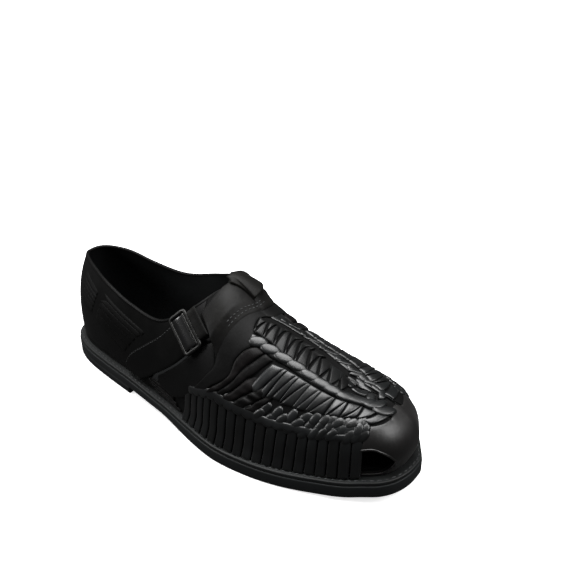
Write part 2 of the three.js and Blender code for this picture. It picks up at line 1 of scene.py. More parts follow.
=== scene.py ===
# %% [markdown]
# # A woven leather sandal, dressed over its CAD frame
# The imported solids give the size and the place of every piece. This notebook adds what makes the shoe look like
# leather and rubber: rounded edges, the strips and knots of the weave, stitches, creases and grain. Every piece is
# worked out on the same form as the solids, so it goes where the solids are, in metres.

# %% Load the frame
import math
import bmesh
import bpy
import numpy as np
from mathutils import Matrix, Vector


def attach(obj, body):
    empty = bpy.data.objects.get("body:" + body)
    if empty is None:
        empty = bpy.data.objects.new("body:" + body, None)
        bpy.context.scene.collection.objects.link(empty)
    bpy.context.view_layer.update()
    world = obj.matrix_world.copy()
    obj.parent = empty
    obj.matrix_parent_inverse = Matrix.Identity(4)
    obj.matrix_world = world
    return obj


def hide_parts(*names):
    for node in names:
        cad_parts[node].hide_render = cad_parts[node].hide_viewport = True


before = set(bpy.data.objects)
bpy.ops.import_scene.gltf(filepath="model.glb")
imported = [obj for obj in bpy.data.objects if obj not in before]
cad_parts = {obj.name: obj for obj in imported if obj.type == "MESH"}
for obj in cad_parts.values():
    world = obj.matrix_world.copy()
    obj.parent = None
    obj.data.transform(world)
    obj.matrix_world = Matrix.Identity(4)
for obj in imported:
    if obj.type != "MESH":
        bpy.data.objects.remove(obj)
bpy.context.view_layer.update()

# %% [markdown]
# ## The form of the shoe
# A shoemaker works over a last. Here the last is a table of sections from the heel to the toe, in shares of the
# length, the ball width and the instep height. A smooth curve through the rows gives the outline for any place
# between them, so a piece can be as fine as it needs to be.

# %% Sections of the form
LENGTH, BALL_WIDTH, INSTEP, TOE_SPRING = 295.0, 102.6, 97.0, 8.0
HEEL_LIFT, HEEL_LENGTH, SOLE_THICK, MIDSOLE_THICK, GAP = 5.3, 84.0, 8.8, 2.5, 0.3
WALL = 2.0

# along, lateral, medial, topAlong, topLateral, topMedial, riseLateral, riseMedial, turn, full, bulge
SECTIONS = np.array([
    [0.000, -0.045, -0.045, 0.036, -0.045, -0.045, 0.820, 0.820, 52, 0.80, 1.2],
    [0.015, 0.273, -0.337, 0.042, 0.065, -0.200, 0.820, 0.820, 52, 0.80, 1.2],
    [0.050, 0.437, -0.532, 0.068, 0.170, -0.330, 0.820, 0.815, 52, 0.80, 1.2],
    [0.100, 0.548, -0.649, 0.115, 0.290, -0.445, 0.815, 0.793, 52, 0.80, 1.2],
    [0.180, 0.628, -0.702, 0.190, 0.430, -0.530, 0.788, 0.742, 52, 0.80, 2.0],
    [0.280, 0.700, -0.653, 0.285, 0.520, -0.590, 0.737, 0.727, 52, 0.85, 1.5],
    [0.400, 0.780, -0.669, 0.393, 0.560, -0.610, 0.732, 0.825, 54, 0.90, 1.0],
    [0.500, 0.893, -0.766, 0.475, 0.420, -0.400, 0.890, 0.950, 66, 1.05, 1.0],
    [0.600, 1.000, -0.903, 0.519, -0.050, -0.050, 0.990, 0.990, 90, 1.15, 1.5],
    [0.680, 0.981, -0.981, 0.600, -0.050, -0.050, 0.880, 0.880, 90, 1.20, 2.0],
    [0.760, 0.897, -1.000, 0.692, -0.060, -0.060, 0.780, 0.780, 90, 1.15, 2.5],
    [0.840, 0.750, -0.951, 0.766, -0.090, -0.090, 0.690, 0.690, 90, 1.00, 3.5],
    [0.900, 0.604, -0.854, 0.814, -0.110, -0.110, 0.634, 0.634, 90, 0.85, 5.0],
    [0.950, 0.415, -0.704, 0.838, -0.125, -0.125, 0.598, 0.598, 90, 0.78, 6.0],
    [0.985, 0.228, -0.431, 0.847, -0.125, -0.125, 0.582, 0.582, 90, 0.75, 6.5],
    [1.000, -0.199, -0.199, 0.850, -0.125, -0.125, 0.577, 0.577, 90, 0.75, 6.5]])
TIP = len(SECTIONS) - 1
LOOP = 2 * TIP
CREST = 8


def around(lateral, medial):
    """Closed column of a section value: the outer side up to the tip, then the inner side back to the heel."""
    return np.concatenate([SECTIONS[:, lateral], SECTIONS[TIP - 1:0:-1, medial]])


EDGE = np.stack([around(1, 2) * BALL_WIDTH / 2, (around(0, 0) - 0.5) * LENGTH], -1)
RIM = np.stack([around(4, 5) * BALL_WIDTH / 2, (around(3, 3) - 0.5) * LENGTH, around(6, 7) * INSTEP,
                around(8, 8), around(9, 9), around(10, 10)], -1)


def smooth_loop(values, row):
    """Catmull-Rom curve through a closed list of values: a cubic between two rows, its slopes from the neighbours."""
    row = np.asarray(row, float) % LOOP
    start = np.floor(row).astype(int)
    f = (row - start)[..., None]
    a, b, c, d = (values[(start + k) % LOOP] for k in (-1, 0, 1, 2))
    return 0.5 * (2 * b + (c - a) * f + (2 * a - 5 * b + 4 * c - d) * f**2 + (3 * b - 3 * c + d - a) * f**3)


def eased(table, x):
    """Value of a two-column table at x, with a smooth step (3s^2 - 2s^3) between rows."""
    xs, ys = np.array(table, float).T
    x = np.clip(x, xs[0], xs[-1])
    i = np.clip(np.searchsorted(xs, x, side="right") - 1, 0, len(xs) - 2)
    s = (x - xs[i]) / (xs[i + 1] - xs[i])
    return ys[i] + (ys[i + 1] - ys[i]) * s * s * (3 - 2 * s)


def unit(v):
    """The same direction with length 1."""
    return v / np.maximum(np.linalg.norm(v, axis=-1, keepdims=True), 1e-9)


def distances(path):
    """Length run along a path up to each of its points."""
    return np.concatenate([[0], np.cumsum(np.linalg.norm(np.diff(path, axis=0), axis=1))])


def softened(values, spread):
    """Closed line drawn a little rounder: points at equal steps, averaged with a bell curve of the given millimetres.
    In the line's waves that is a product with exp(-2 (pi spread frequency)^2)."""
    rows = np.arange(0, LOOP, 0.01)
    line = smooth_loop(values, rows)
    run = distances(np.vstack([line, line[:1]]))
    count = int(run[-1] * 2)
    at = np.linspace(0, run[-1], count, endpoint=False)
    even_line = np.stack([np.interp(at, run, np.append(line[:, k], line[0, k])) for k in range(2)], -1)
    bell = np.exp(-2 * (np.pi * spread * np.fft.rfftfreq(count, d=run[-1] / count))**2)
    soft = np.fft.irfft(np.fft.rfft(even_line, axis=0) * bell[:, None], n=count, axis=0)
    return rows, np.stack([np.interp(run[:-1], at, soft[:, k], period=run[-1]) for k in range(2)], -1)


EDGE_SOFTNESS = 5.0
TOE_FULL = [(11.0, 0), (12.5, 1.4), (13.5, 2.7), (14.4, 3.2), (15.0, 2.1), (16.2, 0.3), (17.0, 0)]  # row, added mm
EDGE_ROWS, EDGE_LINE = softened(EDGE, EDGE_SOFTNESS)
edge_run = unit(np.roll(EDGE_LINE, -1, axis=0) - np.roll(EDGE_LINE, 1, axis=0))
EDGE_LINE = EDGE_LINE + eased(TOE_FULL, EDGE_ROWS)[:, None] * np.stack([edge_run[:, 1], -edge_run[:, 0]], -1)


def outline(row):
    """Place on the sole's edge at a row, straight between the close points of the softened line."""
    row = np.asarray(row, float) % LOOP
    return np.stack([np.interp(row, EDGE_ROWS, EDGE_LINE[:, k], period=LOOP) for k in range(2)], -1)


def outward(row):
    """Direction away from the sole's outline: the tangent turned by a quarter."""
    run = unit(outline(np.asarray(row) + 0.02) - outline(np.asarray(row) - 0.02))
    return np.stack([run[..., 1], -run[..., 0]], -1)

print("rows:", LOOP, "heel", np.round(outline(0), 1), "toe tip", np.round(outline(TIP), 1))

# %% [markdown]
# ## Heights of the sole
# The heel lifts the rear of the shoe, and the toe springs clear of the ground. All heights of the sole and the welt
# follow from the line of the underside, so a change of the heel moves everything over it.

# %% Heights along the foot
def under(y):
    """Height of the outsole's underside: the heel's lift fading out at the arch, plus the toe spring's parabola."""
    s = y / LENGTH + 0.5
    lift = eased([(0, 1), (0.26, 1), (0.40, 0.6), (0.54, 0), (1, 0)], s) * HEEL_LIFT
    return lift + TOE_SPRING * np.clip((s - 0.70) / 0.30, 0, None)**2


def sole_top(y):
    """Height of the outsole's upper face: the underside plus the thickness, less at the heel and the arch."""
    s = y / LENGTH + 0.5
    return under(y) + SOLE_THICK * eased([(0, 0.784), (0.26, 0.784), (0.40, 0.74), (0.54, 1), (1, 1)], s)


def welt_top(y):
    """Height of the welt's upper face: the sole, a gap and the welt's own thickness."""
    return sole_top(y) + GAP + MIDSOLE_THICK


print("sole top at heel, arch and toe:", np.round(sole_top(np.array([-140.0, -20.0, 140.0])), 1))

# %% [markdown]
# ## The wall of the upper
# Leather pulled over a last rises upright from the welt and bends over towards the instep. One curve describes that
# for every row, and a place on it is a row number and a share of the way up.

# %% The wall's curve
def feather(row):
    """Line where the wall meets the welt: the outline moved inward by the ledge."""
    edge = outline(row)
    ledge = eased([(0, 4.5), (0.3, 5.0), (0.6, 5.5), (0.85, 7.0), (1, 8.0)], edge[..., 1] / LENGTH + 0.5)
    return edge - outward(row) * ledge[..., None]


def rim(row):
    """Upper end of the wall. In front of the throat both sides meet on the crest, so there the two halves of the
    table are averaged into one line and the slope is level."""
    row = np.asarray(row, float) % LOOP
    here, there = smooth_loop(RIM, row), smooth_loop(RIM, LOOP - row)
    shut = ((row >= CREST) & (row <= LOOP - CREST))[..., None]
    mean = (here + there) / 2
    mean[..., 3] = 90
    return np.where(shut, np.concatenate([mean[..., :4], here[..., 4:]], -1), here)


def wall(row, share):
    """Point of the upper's outer face. The wall turns from upright at the feather (share 0) to the slope of the rim
    (share 1) like a squared quarter circle: inward = 1 - cos^full, upward = sin^full, plus a bulge at mid height."""
    row, share = np.broadcast_arrays(np.asarray(row, float), np.asarray(share, float))
    foot, top = feather(row), rim(row)
    turn = np.radians(np.minimum(top[..., 3], 90))
    full = top[..., 4]
    cosine = np.clip(np.cos(share * turn), 0, 1)
    inward = (1 - cosine**full) / (1 - np.clip(np.cos(turn), 0, 1)**full)
    upward = (np.clip(np.sin(share * turn), 0, 1) / np.sin(turn))**full
    bulge = top[..., 5] * np.sin(np.pi * np.clip(share, 0, 1)**0.7)
    flat = foot + (top[..., :2] - foot) * inward[..., None] + outward(row) * bulge[..., None]
    base = welt_top(foot[..., 1]) + GAP
    return np.concatenate([flat, (base + (top[..., 2] - base) * upward)[..., None]], -1)


def across_place(row, across):
    """Row and share of a place counted over the instep: 0 the outer feather, 1 the crest, 2 the inner feather."""
    inner = across > 1
    return np.where(inner, LOOP - row, row), np.where(inner, 2 - across, across)


def form(row, across):
    """Point of the form counted over the instep."""
    return wall(*across_place(*np.broadcast_arrays(np.asarray(row, float), np.asarray(across, float))))


def skin(place, row, share, lift):
    """Point at a lift over a face; the normal is the cross product of the two tangents, taken by differences."""
    row, share = np.broadcast_arrays(np.asarray(row, float), np.asarray(share, float))
    low, high = share - 0.03, share + 0.03
    if place is wall:
        low, high = np.clip(low, 0.004, 0.97), np.clip(high, 0.03, 0.985)
    else:
        low, high = np.clip(low, 0.004, None), np.clip(high, None, 1.996)
    mid = (low + high) / 2
    normal = unit(np.cross(place(row + 0.03, mid) - place(row - 0.03, mid), place(row, high) - place(row, low)))
    return place(row, share) + normal * np.asarray(lift)[..., None]


print("crest", np.round(wall(CREST, 1.0), 1), "toe top", np.round(wall(TIP, 1.0), 1))

# %% [markdown]
# ## Turning arrays into meshes
# Every piece ends as one array of points and one of faces. Grids are stitched from their row and column numbers, and
# many small grids of the same size, such as strips or knots, are packed into one mesh at once.

# %% Mesh helpers
MM = 0.001


def new_piece(name, points, faces, material, node=None):
    """Mesh object at the origin from points in millimetres and quads, which rides on the shoe's one body."""
    mesh = bpy.data.meshes.new(name)
    corners = [list(dict.fromkeys(face)) for face in np.asarray(faces).tolist()]
    mesh.from_pydata((np.asarray(points, float).reshape(-1, 3) * MM).tolist(), [], corners)
    mesh.polygons.foreach_set("use_smooth", np.ones(len(mesh.polygons), bool))
    mesh.materials.append(material)
    mesh.update()
    piece = bpy.data.objects.new(name, mesh)
    bpy.context.scene.collection.objects.link(piece)
    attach(piece, "root")
    if node:
        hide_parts(node)
    return piece


def grid_faces(nu, nv, loop_u=False, loop_v=False, start=0):
    """Quads of a grid stored row by row; their normal is the u direction crossed with the v direction."""
    u = np.arange(nu if loop_u else nu - 1)
    v = np.arange(nv if loop_v else nv - 1)
    i, j = (a.ravel() for a in np.meshgrid(u, v, indexing="ij"))
    k, l = (i + 1) % nu, (j + 1) % nv
    return np.stack([i * nv + j, k * nv + j, k * nv + l, i * nv + l], -1) + start


def weld(piece, distance=2e-5):
    """Merges doubled points, so that seams and poles are closed, and points the faces outwards."""
    bm = bmesh.new()
    bm.from_mesh(piece.data)
    bmesh.ops.remove_doubles(bm, verts=bm.verts, dist=distance)
    bmesh.ops.dissolve_degenerate(bm, edges=bm.edges, dist=1e-7)
    bmesh.ops.recalc_face_normals(bm, faces=bm.faces)
    bm.to_mesh(piece.data)
    bm.free()
    piece.data.polygons.foreach_set("use_smooth", np.ones(len(piece.data.polygons), bool))
    piece.data.update()
    return piece


def tone(piece, values):
    """Stores one number a point, read by the leather's colour so that neighbouring strips differ a little."""
    layer = piece.data.attributes.new("tone", "FLOAT", "POINT")
    layer.data.foreach_set("value", np.asarray(values, np.float32).ravel())


def rounded(u, power):
    """Height of a strip's section over its width: 0 at the edges, 1 in the middle, as 1 - |2u - 1|^power."""
    return (1 - np.abs(2 * u - 1)**power)**(1 / 2)


def even(n):
    """n shares from 0 to 1 that lie closer together near both ends, where a rounded edge needs them."""
    x = np.linspace(0, 1, n)
    return x + np.sin(2 * np.pi * x) * -0.08

print("points over a pad's edge:", np.round(even(7), 2))


# %% [markdown]
# ## Materials
# Smooth calf leather is dyed through and finished with a thin wax, so it is nearly black but takes a broad grey sheen
# where light meets it at a low angle. The welt is the same leather cut on edge, the sole is moulded rubber with a
# matt skin, the lining is unfinished leather and the buckle is dark plated steel.

# %% Colours and node helpers
def srgb(text):
    """Linear colour of an sRGB hex value."""
    values = [int(text[i:i + 2], 16) / 255 for i in (0, 2, 4)]
    return [v / 12.92 if v <= 0.04045 else ((v + 0.055) / 1.055)**2.4 for v in values] + [1.0]


def add_node(tree, kind, settings=None, **links):
    """Adds a node, sets its properties, and fills its inputs with values or with other nodes' outputs."""
    node = tree.nodes.new(kind)
    for key, value in (settings or {}).items():
        setattr(node, key, value)
    for key, value in links.items():
        slot = node.inputs[int(key[1:]) if key[0] == "_" else key.replace("_", " ")]
        if isinstance(value, bpy.types.NodeSocket):
            tree.links.new(value, slot)
        else:
            slot.default_value = value
    return node


def start_material(name):
    """New material: itself, its node tree, its shader and the place on the object in metres."""
    material = bpy.data.materials.new(name)
    material.use_nodes = True
    tree = material.node_tree
    return material, tree, tree.nodes["Principled BSDF"], add_node(tree, "ShaderNodeTexCoord").outputs["Object"]


def noise(tree, place, size_mm, detail, **links):
    """Cloudy noise whose patches are about size_mm wide."""
    clouds = add_node(tree, "ShaderNodeTexNoise", Vector=place, Scale=1000 / size_mm, Detail=detail, **links)
    return clouds.outputs["Fac"]


def colour_between(tree, shader, share, dark, light):
    """Base colour mixed between two colours by a share."""
    mix = add_node(tree, "ShaderNodeMix", {"data_type": "RGBA"}, _0=share, _6=srgb(dark), _7=srgb(light))
    tree.links.new(mix.outputs[2], shader.inputs["Base Color"])


def roughness_between(tree, shader, share, start, end, smooth, rough):
    """Roughness from smooth to rough, while the share goes from start to end."""
    gloss = add_node(tree, "ShaderNodeMapRange", Value=share, From_Min=start, From_Max=end,
                     To_Min=smooth, To_Max=rough)
    tree.links.new(gloss.outputs[0], shader.inputs["Roughness"])


def finish_bump(tree, shader, heights):
    """Chains bump nodes from coarse to fine: each (height socket, distance in metres, strength)."""
    normal = None
    for height, distance, strength in heights:
        bump = add_node(tree, "ShaderNodeBump", Strength=strength, Distance=distance, Height=height)
        if normal is not None:
            tree.links.new(normal, bump.inputs["Normal"])
        normal = bump.outputs["Normal"]
    tree.links.new(normal, shader.inputs["Normal"])


def leather(name, dark, light, roughness, grain_mm, sheen, coat=0.0, crease=0.0, weight=0.5):
    """Dyed leather: a fine cell grain, larger cloudy wear in colour and gloss, and soft creases."""
    material, tree, shader, place = start_material(name)
    cells = add_node(tree, "ShaderNodeTexVoronoi", {"feature": "DISTANCE_TO_EDGE"}, Vector=place,
                     Scale=1000 / grain_mm)
    clouds, fine = noise(tree, place, 18, 4.0, Roughness=0.6), noise(tree, place, 1.6, 3.0, Roughness=0.6)
    worn = add_node(tree, "ShaderNodeAttribute", {"attribute_name": "tone"})
    shade = add_node(tree, "ShaderNodeMath", {"operation": "MULTIPLY_ADD"}, _0=worn.outputs["Fac"], _1=0.22,
                     _2=clouds)
    ramp = add_node(tree, "ShaderNodeMapRange", Value=shade.outputs[0], From_Min=0.25, From_Max=0.8,
                    To_Min=0.0, To_Max=1.0)
    colour_between(tree, shader, ramp.outputs[0], dark, light)
    roughness_between(tree, shader, clouds, 0.3, 0.75, roughness - 0.06, roughness + 0.1)
    heights = [(clouds, 0.0006, 0.35), (fine, 0.00012, 0.5), (cells.outputs["Distance"], 0.00010, 0.35)]
    if crease:
        heights.insert(0, (noise(tree, place, 9, 2.0, Distortion=1.2), 0.0016, crease))
    finish_bump(tree, shader, heights)
    for key, value in (("Sheen Weight", sheen), ("Sheen Roughness", 0.45), ("Coat Weight", coat),
                       ("Coat Roughness", 0.35), ("Specular IOR Level", weight)):
        shader.inputs[key].default_value = value
    return material


print("helpers ready; 50 % grey in linear light:", round(srgb("808080")[0], 3))

# %% [markdown]
# ## One material for each kind of leather
# All the calf comes from one dark hide, but a strip that was cut and pulled is glossier than a flat wall, the toe cap
# is polished, and what lies in the slits gets no wax, so it is dull, and is painted darker than the calf as painted
# shade for the slits. The thread is waxed linen with a twist, the sole carries mould grit, and the plated steel has
# fine scratches.

# %% Leathers, rubber, thread and metal
# name, dark and light colour, roughness, grain in mm, sheen; then coat, creases and weight of the mirror light
calf = leather("waxed_calf_leather", "060606", "0c0c0c", 0.48, 0.9, 0.01, weight=0.12)
calf_soft = leather("soft_calf_leather", "080808", "12110f", 0.46, 1.1, 0.02, crease=0.12, weight=0.13)
calf_pleat = leather("pleated_calf_leather", "060606", "0e0c0c", 0.42, 0.8, 0.02, crease=0.25, weight=0.11)
calf_cap = leather("polished_toe_leather", "090808", "131110", 0.42, 1.0, 0.03, coat=0.1, weight=0.6)
calf_weave = leather("cut_weave_leather", "060707", "0e1011", 0.34, 0.8, 0.02, coat=0.2)
calf_crest = leather("crest_weave_leather", "070707", "101111", 0.38, 0.8, 0.02, weight=0.24)
calf_glossy = leather("pressed_glossy_leather", "060606", "0c0c0e", 0.16, 0.9, 0.0, coat=0.6)
# The slit backing is painted nearly black, darker than the calf: painted shade for the deep slits between the strips.
calf_shadow = leather("painted_shade_slit_backing", "030303", "060606", 0.7, 1.0, 0.0, weight=0.1)
lining = leather("matt_lining_leather", "040506", "0a0c0d", 0.8, 0.7, 0.0, weight=0.2)
welt_edge = leather("burnished_welt_leather", "080a0a", "101414", 0.6, 1.2, 0.02)

thread, tree, shader, place = start_material("waxed_linen_thread")
twist = add_node(tree, "ShaderNodeTexWave", {"bands_direction": "DIAGONAL"}, Vector=place, Scale=400.0,
                 Distortion=1.0)
colour_between(tree, shader, twist.outputs["Fac"], "181a1a", "3c3e3f")
shader.inputs["Roughness"].default_value = 0.6
finish_bump(tree, shader, [(twist.outputs["Fac"], 0.0001, 0.6)])

rubber, tree, shader, place = start_material("moulded_rubber")
cloud, grit = noise(tree, place, 30, 4.0), noise(tree, place, 0.9, 2.0)
colour_between(tree, shader, cloud, "0b0e0f", "15191a")
roughness_between(tree, shader, cloud, 0.3, 0.7, 0.58, 0.72)
finish_bump(tree, shader, [(cloud, 0.0004, 0.3), (grit, 0.0001, 0.5)])

steel, tree, shader, place = start_material("gunmetal_plated_steel")
scratches = noise(tree, place, 2.5, 5.0)
roughness_between(tree, shader, scratches, 0.3, 0.7, 0.34, 0.44)
colour_between(tree, shader, scratches, "2e2e2e", "474746")
shader.inputs["Metallic"].default_value = 1.0
print("materials:", len(bpy.data.materials))

# %% [markdown]
# ## Sole and welt
# The sole is one rubber moulding: a flat side with a soft top edge, and a low heel whose front face is cut square.
# It is drawn as rings around the outline, each ring at its own inset and height.

# %% Rings around the outline
ROUND = np.linspace(0, LOOP, 720, endpoint=False)


def ring(inset, height):
    """One ring: the outline moved inward by inset, at a height that depends on the place along the foot."""
    edge = outline(ROUND) - outward(ROUND) * inset
    return np.concatenate([edge, height(edge[:, 1])[:, None]], -1)


def capped_rings(name, rings, material, node=None):
    """Closed shell of rings from low to high; the caps run from side to side over the same row numbers."""
    count = rings[0].shape[0]
    points = np.stack(rings)
    sides = grid_faces(len(rings), count, loop_v=True)[:, ::-1]
    half = count // 2
    i = np.arange(half)
    cap = np.stack([i, i + 1, count - i - 1, (count - i) % count], -1)
    faces = np.concatenate([sides, cap[:, ::-1], cap + (len(rings) - 1) * count])
    return weld(new_piece(name, points, faces, material, node))


def side_profile(low, high, soft_low, soft_high):
    """Insets and height shares of a wall whose two edges are quarter circles of the given radii."""
    turn = np.linspace(0, np.pi / 2, 6)
    lower = [(soft_low * (1 - np.sin(a)), soft_low * (1 - np.cos(a)), 0) for a in turn]
    upper = [(soft_high * (1 - np.cos(a)), -soft_high * (1 - np.sin(a)), 1) for a in turn]
    return [(inset, (lambda y, d=drop, e=end: (high(y) if e else low(y)) + d)) for inset, drop, end in lower + upper]


sole_rings = [ring(inset, height) for inset, height in side_profile(under, sole_top, 0.9, 0.8)]
outsole = capped_rings("rubber_outsole", sole_rings, rubber, "outsole")
print("outsole faces", len(outsole.data.polygons))

# %% [markdown]
# ## The heel's lift
# The low heel carries on under the sole: the same outline, from the ground up into the sole, cut square at its front.
# It is a ring too, only one that runs round the heel and straight back along the cut.

# %% The heel's lift
breast = HEEL_LENGTH - LENGTH / 2
heel_side = np.linspace(0, 8, 400)
heel_end = np.interp(breast, outline(heel_side)[:, 1], heel_side)
heel_back = LOOP - np.interp(breast, outline(LOOP - heel_side)[:, 1], heel_side)
heel_rows = np.concatenate([np.linspace(heel_back - LOOP, 0, 90), np.linspace(0, heel_end, 90)[1:]])


def heel_ring(inset, height):
    """Ring of the heel at an inset and a height; its ends stay behind the breast line."""
    edge = outline(heel_rows) - outward(heel_rows) * inset
    edge[:, 1] = np.minimum(edge[:, 1], breast - inset * 0.6)
    return np.concatenate([edge, np.full((len(edge), 1), height)], -1)


# inset and height of each ring
heel_levels = [(0.9, 0.0), (0.5, 0.12), (0.2, 0.4), (0.0, 0.95), (0.0, 4.5), (0.05, HEEL_LIFT + 1.4)]
heel_points = np.stack([heel_ring(*level) for level in heel_levels])
heel_count = len(heel_rows)
heel_faces = grid_faces(len(heel_levels), heel_count, loop_v=True)[:, ::-1]
k = np.arange((heel_count - 1) // 2)
heel_cap = np.stack([k, k + 1, heel_count - 2 - k, heel_count - 1 - k], -1)
heel_cap_top = heel_cap + (len(heel_levels) - 1) * heel_count
heel_faces = np.concatenate([heel_faces, heel_cap, heel_cap_top[:, ::-1]])
heel = weld(new_piece("rubber_heel_lift", heel_points, heel_faces, rubber))
print("heel faces", len(heel.data.polygons))

# %% [markdown]
# ## Welt and stitches
# The welt is the leather ledge between the upper and the sole. It is a ring of its own, and the stitches that hold it
# are short capsules set at equal steps, because a row of single stitches catches the light where a line would not.

# %% The welt and its stitches
def welt_foot(y):
    """Height of the welt's underside, a gap over the sole."""
    return sole_top(y) + GAP


WELT_INSET = 0.4
welt_rings = [ring(WELT_INSET + inset, height) for inset, height in side_profile(welt_foot, welt_top, 0.5, 0.7)]
welt = capped_rings("stitched_welt", welt_rings, welt_edge, "midsole")
print("welt faces", len(welt.data.polygons))


def evenly(path, spacing):
    """Fractional point numbers of places at equal distances along a sampled path."""
    run = distances(path)
    return np.interp(np.arange(spacing / 2, run[-1], spacing), run, np.arange(len(path)))


def at_index(path, index):
    """Place at a fractional point number: a straight line between two points."""
    low = np.clip(np.floor(index).astype(int), 0, len(path) - 2)
    f = (index - low)[..., None]
    return path[low] * (1 - f) + path[low + 1] * f


def stitches(name, path, normals, spacing, length, width, proud, material=thread):
    """Row of stitches along a path, sizes in millimetres: each is a capsule whose middle stands proud and whose ends
    dip into the leather."""
    index = evenly(path, spacing)
    centre = at_index(path, index)
    along = unit(at_index(path, index + 0.2) - at_index(path, index - 0.2))
    up = unit(at_index(normals, index))
    side = unit(np.cross(along, up))
    u, v = np.linspace(-1, 1, 7), np.linspace(0, 2 * np.pi, 7)[:-1]
    thick = np.sqrt(np.clip(1 - u**2 * 0.98, 0.02, 1)) * width / 2
    lift = proud * (1 - u**2) - width * 0.25
    body = (centre[:, None, None] + along[:, None, None] * (u * length / 2)[None, :, None, None]
            + up[:, None, None] * (lift[:, None] + thick[:, None] * np.sin(v))[None, :, :, None]
            + side[:, None, None] * (thick[:, None] * np.cos(v))[None, :, :, None])
    nu, nv = len(u), len(v)
    one = grid_faces(nu, nv, loop_v=True)
    ends = np.array([[0, 1, 2, 3], [0, 3, 4, 5]])
    one = np.concatenate([one, ends, (ends + (nu - 1) * nv)[:, ::-1]])
    faces = (one[None] + (np.arange(len(centre)) * nu * nv)[:, None, None]).reshape(-1, 4)
    return new_piece(name, body, faces, material)


STITCH_INSET = 2.4
stitch_rows = np.linspace(0, LOOP, 1200)
stitch_line = outline(stitch_rows) - outward(stitch_rows) * STITCH_INSET
welt_path = np.concatenate([stitch_line, welt_top(stitch_line[:, 1])[:, None]], -1)
welt_up = np.tile([0.0, 0.0, 1.0], (len(welt_path), 1))
welt_thread = stitches("welt_stitches", welt_path, welt_up, spacing=4.6, length=3.6, width=0.9, proud=0.35)
print("stitch faces", len(welt_thread.data.polygons))

# %% [markdown]
# ## The insole board
# The foot stands on a board inside the wall. It follows the feather line, one wall's thickness further in, and its
# upper edge is rounded.

# %% The insole board
def insole_ring(inset, height):
    """Ring of the board: the feather line moved inward, at a height over the welt."""
    edge = feather(ROUND) - outward(ROUND) * (WALL + 1 + inset)
    return np.concatenate([edge, (welt_top(edge[:, 1]) + GAP + height)[:, None]], -1)


insole = capped_rings("padded_insole", [insole_ring(*level) for level in ((0, 0), (0, 2.2), (0.3, 2.7), (1, 3))],
                      lining, "insole")
print("insole faces", len(insole.data.polygons))

# %% [markdown]
# ## The upper's wall
# The wall is one sheet laid over the form from the heel round to the toe and back. Its openings are cut by leaving
# out the cells inside a drawn outline and moving the border's points onto that outline, so the cut edge is clean.

# %% The wall with its openings
# rear row, front row, share at the rear edge, share at the front edge; from the foot of the opening up
OPENING = [(5.62, 5.72, 0.09, 0.08), (5.98, 6.50, 0.36, 0.35), (6.22, 7.45, 0.62, 0.55), (6.42, 7.16, 0.84, 0.84),
           (6.52, 6.98, 1.08, 1.08)]
# row, row, lower share, upper share; from the rear of the cut-out to the toe
CAP_OPENING = [(12.68, 12.68, 0.015, 0.285), (13.25, 13.25, 0.015, 0.305), (13.80, 13.80, 0.03, 0.235),
               (14.12, 14.12, 0.085, 0.135)]


def catmull(values, at):
    """Open Catmull-Rom curve through the rows of values, at fractional row numbers."""
    values = np.asarray(values, float)
    last = len(values) - 1
    start = np.clip(np.floor(at).astype(int), 0, last - 1)
    f = (at - start)[..., None]
    a, b, c, d = (values[np.clip(start + k, 0, last)] for k in (-1, 0, 1, 2))
    return 0.5 * (2 * b + (c - a) * f + (2 * a - 5 * b + 4 * c - d) * f**2 + (3 * b - 3 * c + d - a) * f**3)


def hole_outline(table, count, first, last):
    """Closed outline: along one edge of the table, given by two of its columns, and back along the other."""
    rows = catmull(table, np.linspace(0, len(table) - 1, count))
    return np.concatenate([rows[:, first], rows[::-1][:, last]])


def inside(outline_points, x, y):
    """Even-odd rule: a place is inside if a ray from it crosses the outline an odd number of times."""
    a = outline_points
    b = np.roll(a, -1, axis=0)
    x, y = x[..., None], y[..., None]
    crosses = (a[:, 1] > y) != (b[:, 1] > y)
    slope = np.where(b[:, 1] == a[:, 1], 1e-9, b[:, 1] - a[:, 1])
    return (crosses & (x < (b[:, 0] - a[:, 0]) * (y - a[:, 1]) / slope + a[:, 0])).sum(-1) % 2 == 1


HOLES = [hole_outline(OPENING, 160, [0, 2], [1, 3]), hole_outline(CAP_OPENING, 120, [1, 3], [0, 2])]
HOLES += [np.stack([LOOP - h[:, 0], np.minimum(h[:, 1], 0.88)], -1) for h in HOLES]
CAP_OUTER, CAP_INNER = HOLES[1], HOLES[3]
print("outlines of the openings:", [hole.shape for hole in HOLES])

# %% [markdown]
# ## Cutting a sheet
# A hole is cut out of a grid by leaving out cells, and its ragged border is then pulled onto the drawn outline. That is
# simpler and steadier than a boolean cut, and the wall and the toe cap can share it.

# %% The wall, cut and thickened
def sheet(rows, shares):
    """Rows, shares and quads of a plain grid of places."""
    r, s = np.meshgrid(rows, shares, indexing="ij")
    return r.ravel(), s.ravel(), grid_faces(len(rows), len(shares))


def cut_out(rows, shares, faces, holes):
    """Leaves out the cells inside the holes and moves the points along each cut onto the nearest place of its
    outline. A share counts four times a row there, which is about their sizes on the shoe."""
    r, s = rows.copy(), shares.copy()
    centre_r, centre_s = r[faces].mean(1), s[faces].mean(1)
    gone = np.zeros(len(faces), bool)
    for hole in holes:
        cut = inside(hole, centre_r, centre_s)
        gone |= cut
        border = np.intersect1d(faces[cut], faces[~cut])
        dense = np.concatenate([hole + (np.roll(hole, -1, axis=0) - hole) * f for f in (0, 0.25, 0.5, 0.75)])
        dense = dense[dense[:, 1] <= 1]
        gap = np.linalg.norm((np.stack([r, s], -1)[border][:, None] - dense[None]) * (1.0, 4.0), axis=-1)
        r[border], s[border] = dense[gap.argmin(1)].T
    return r, s, faces[~gone]


def used_only(points, faces):
    """Drops points that no face uses."""
    used = np.unique(faces)
    number = np.full(len(points), -1)
    number[used] = np.arange(len(used))
    return points[used], number[faces]


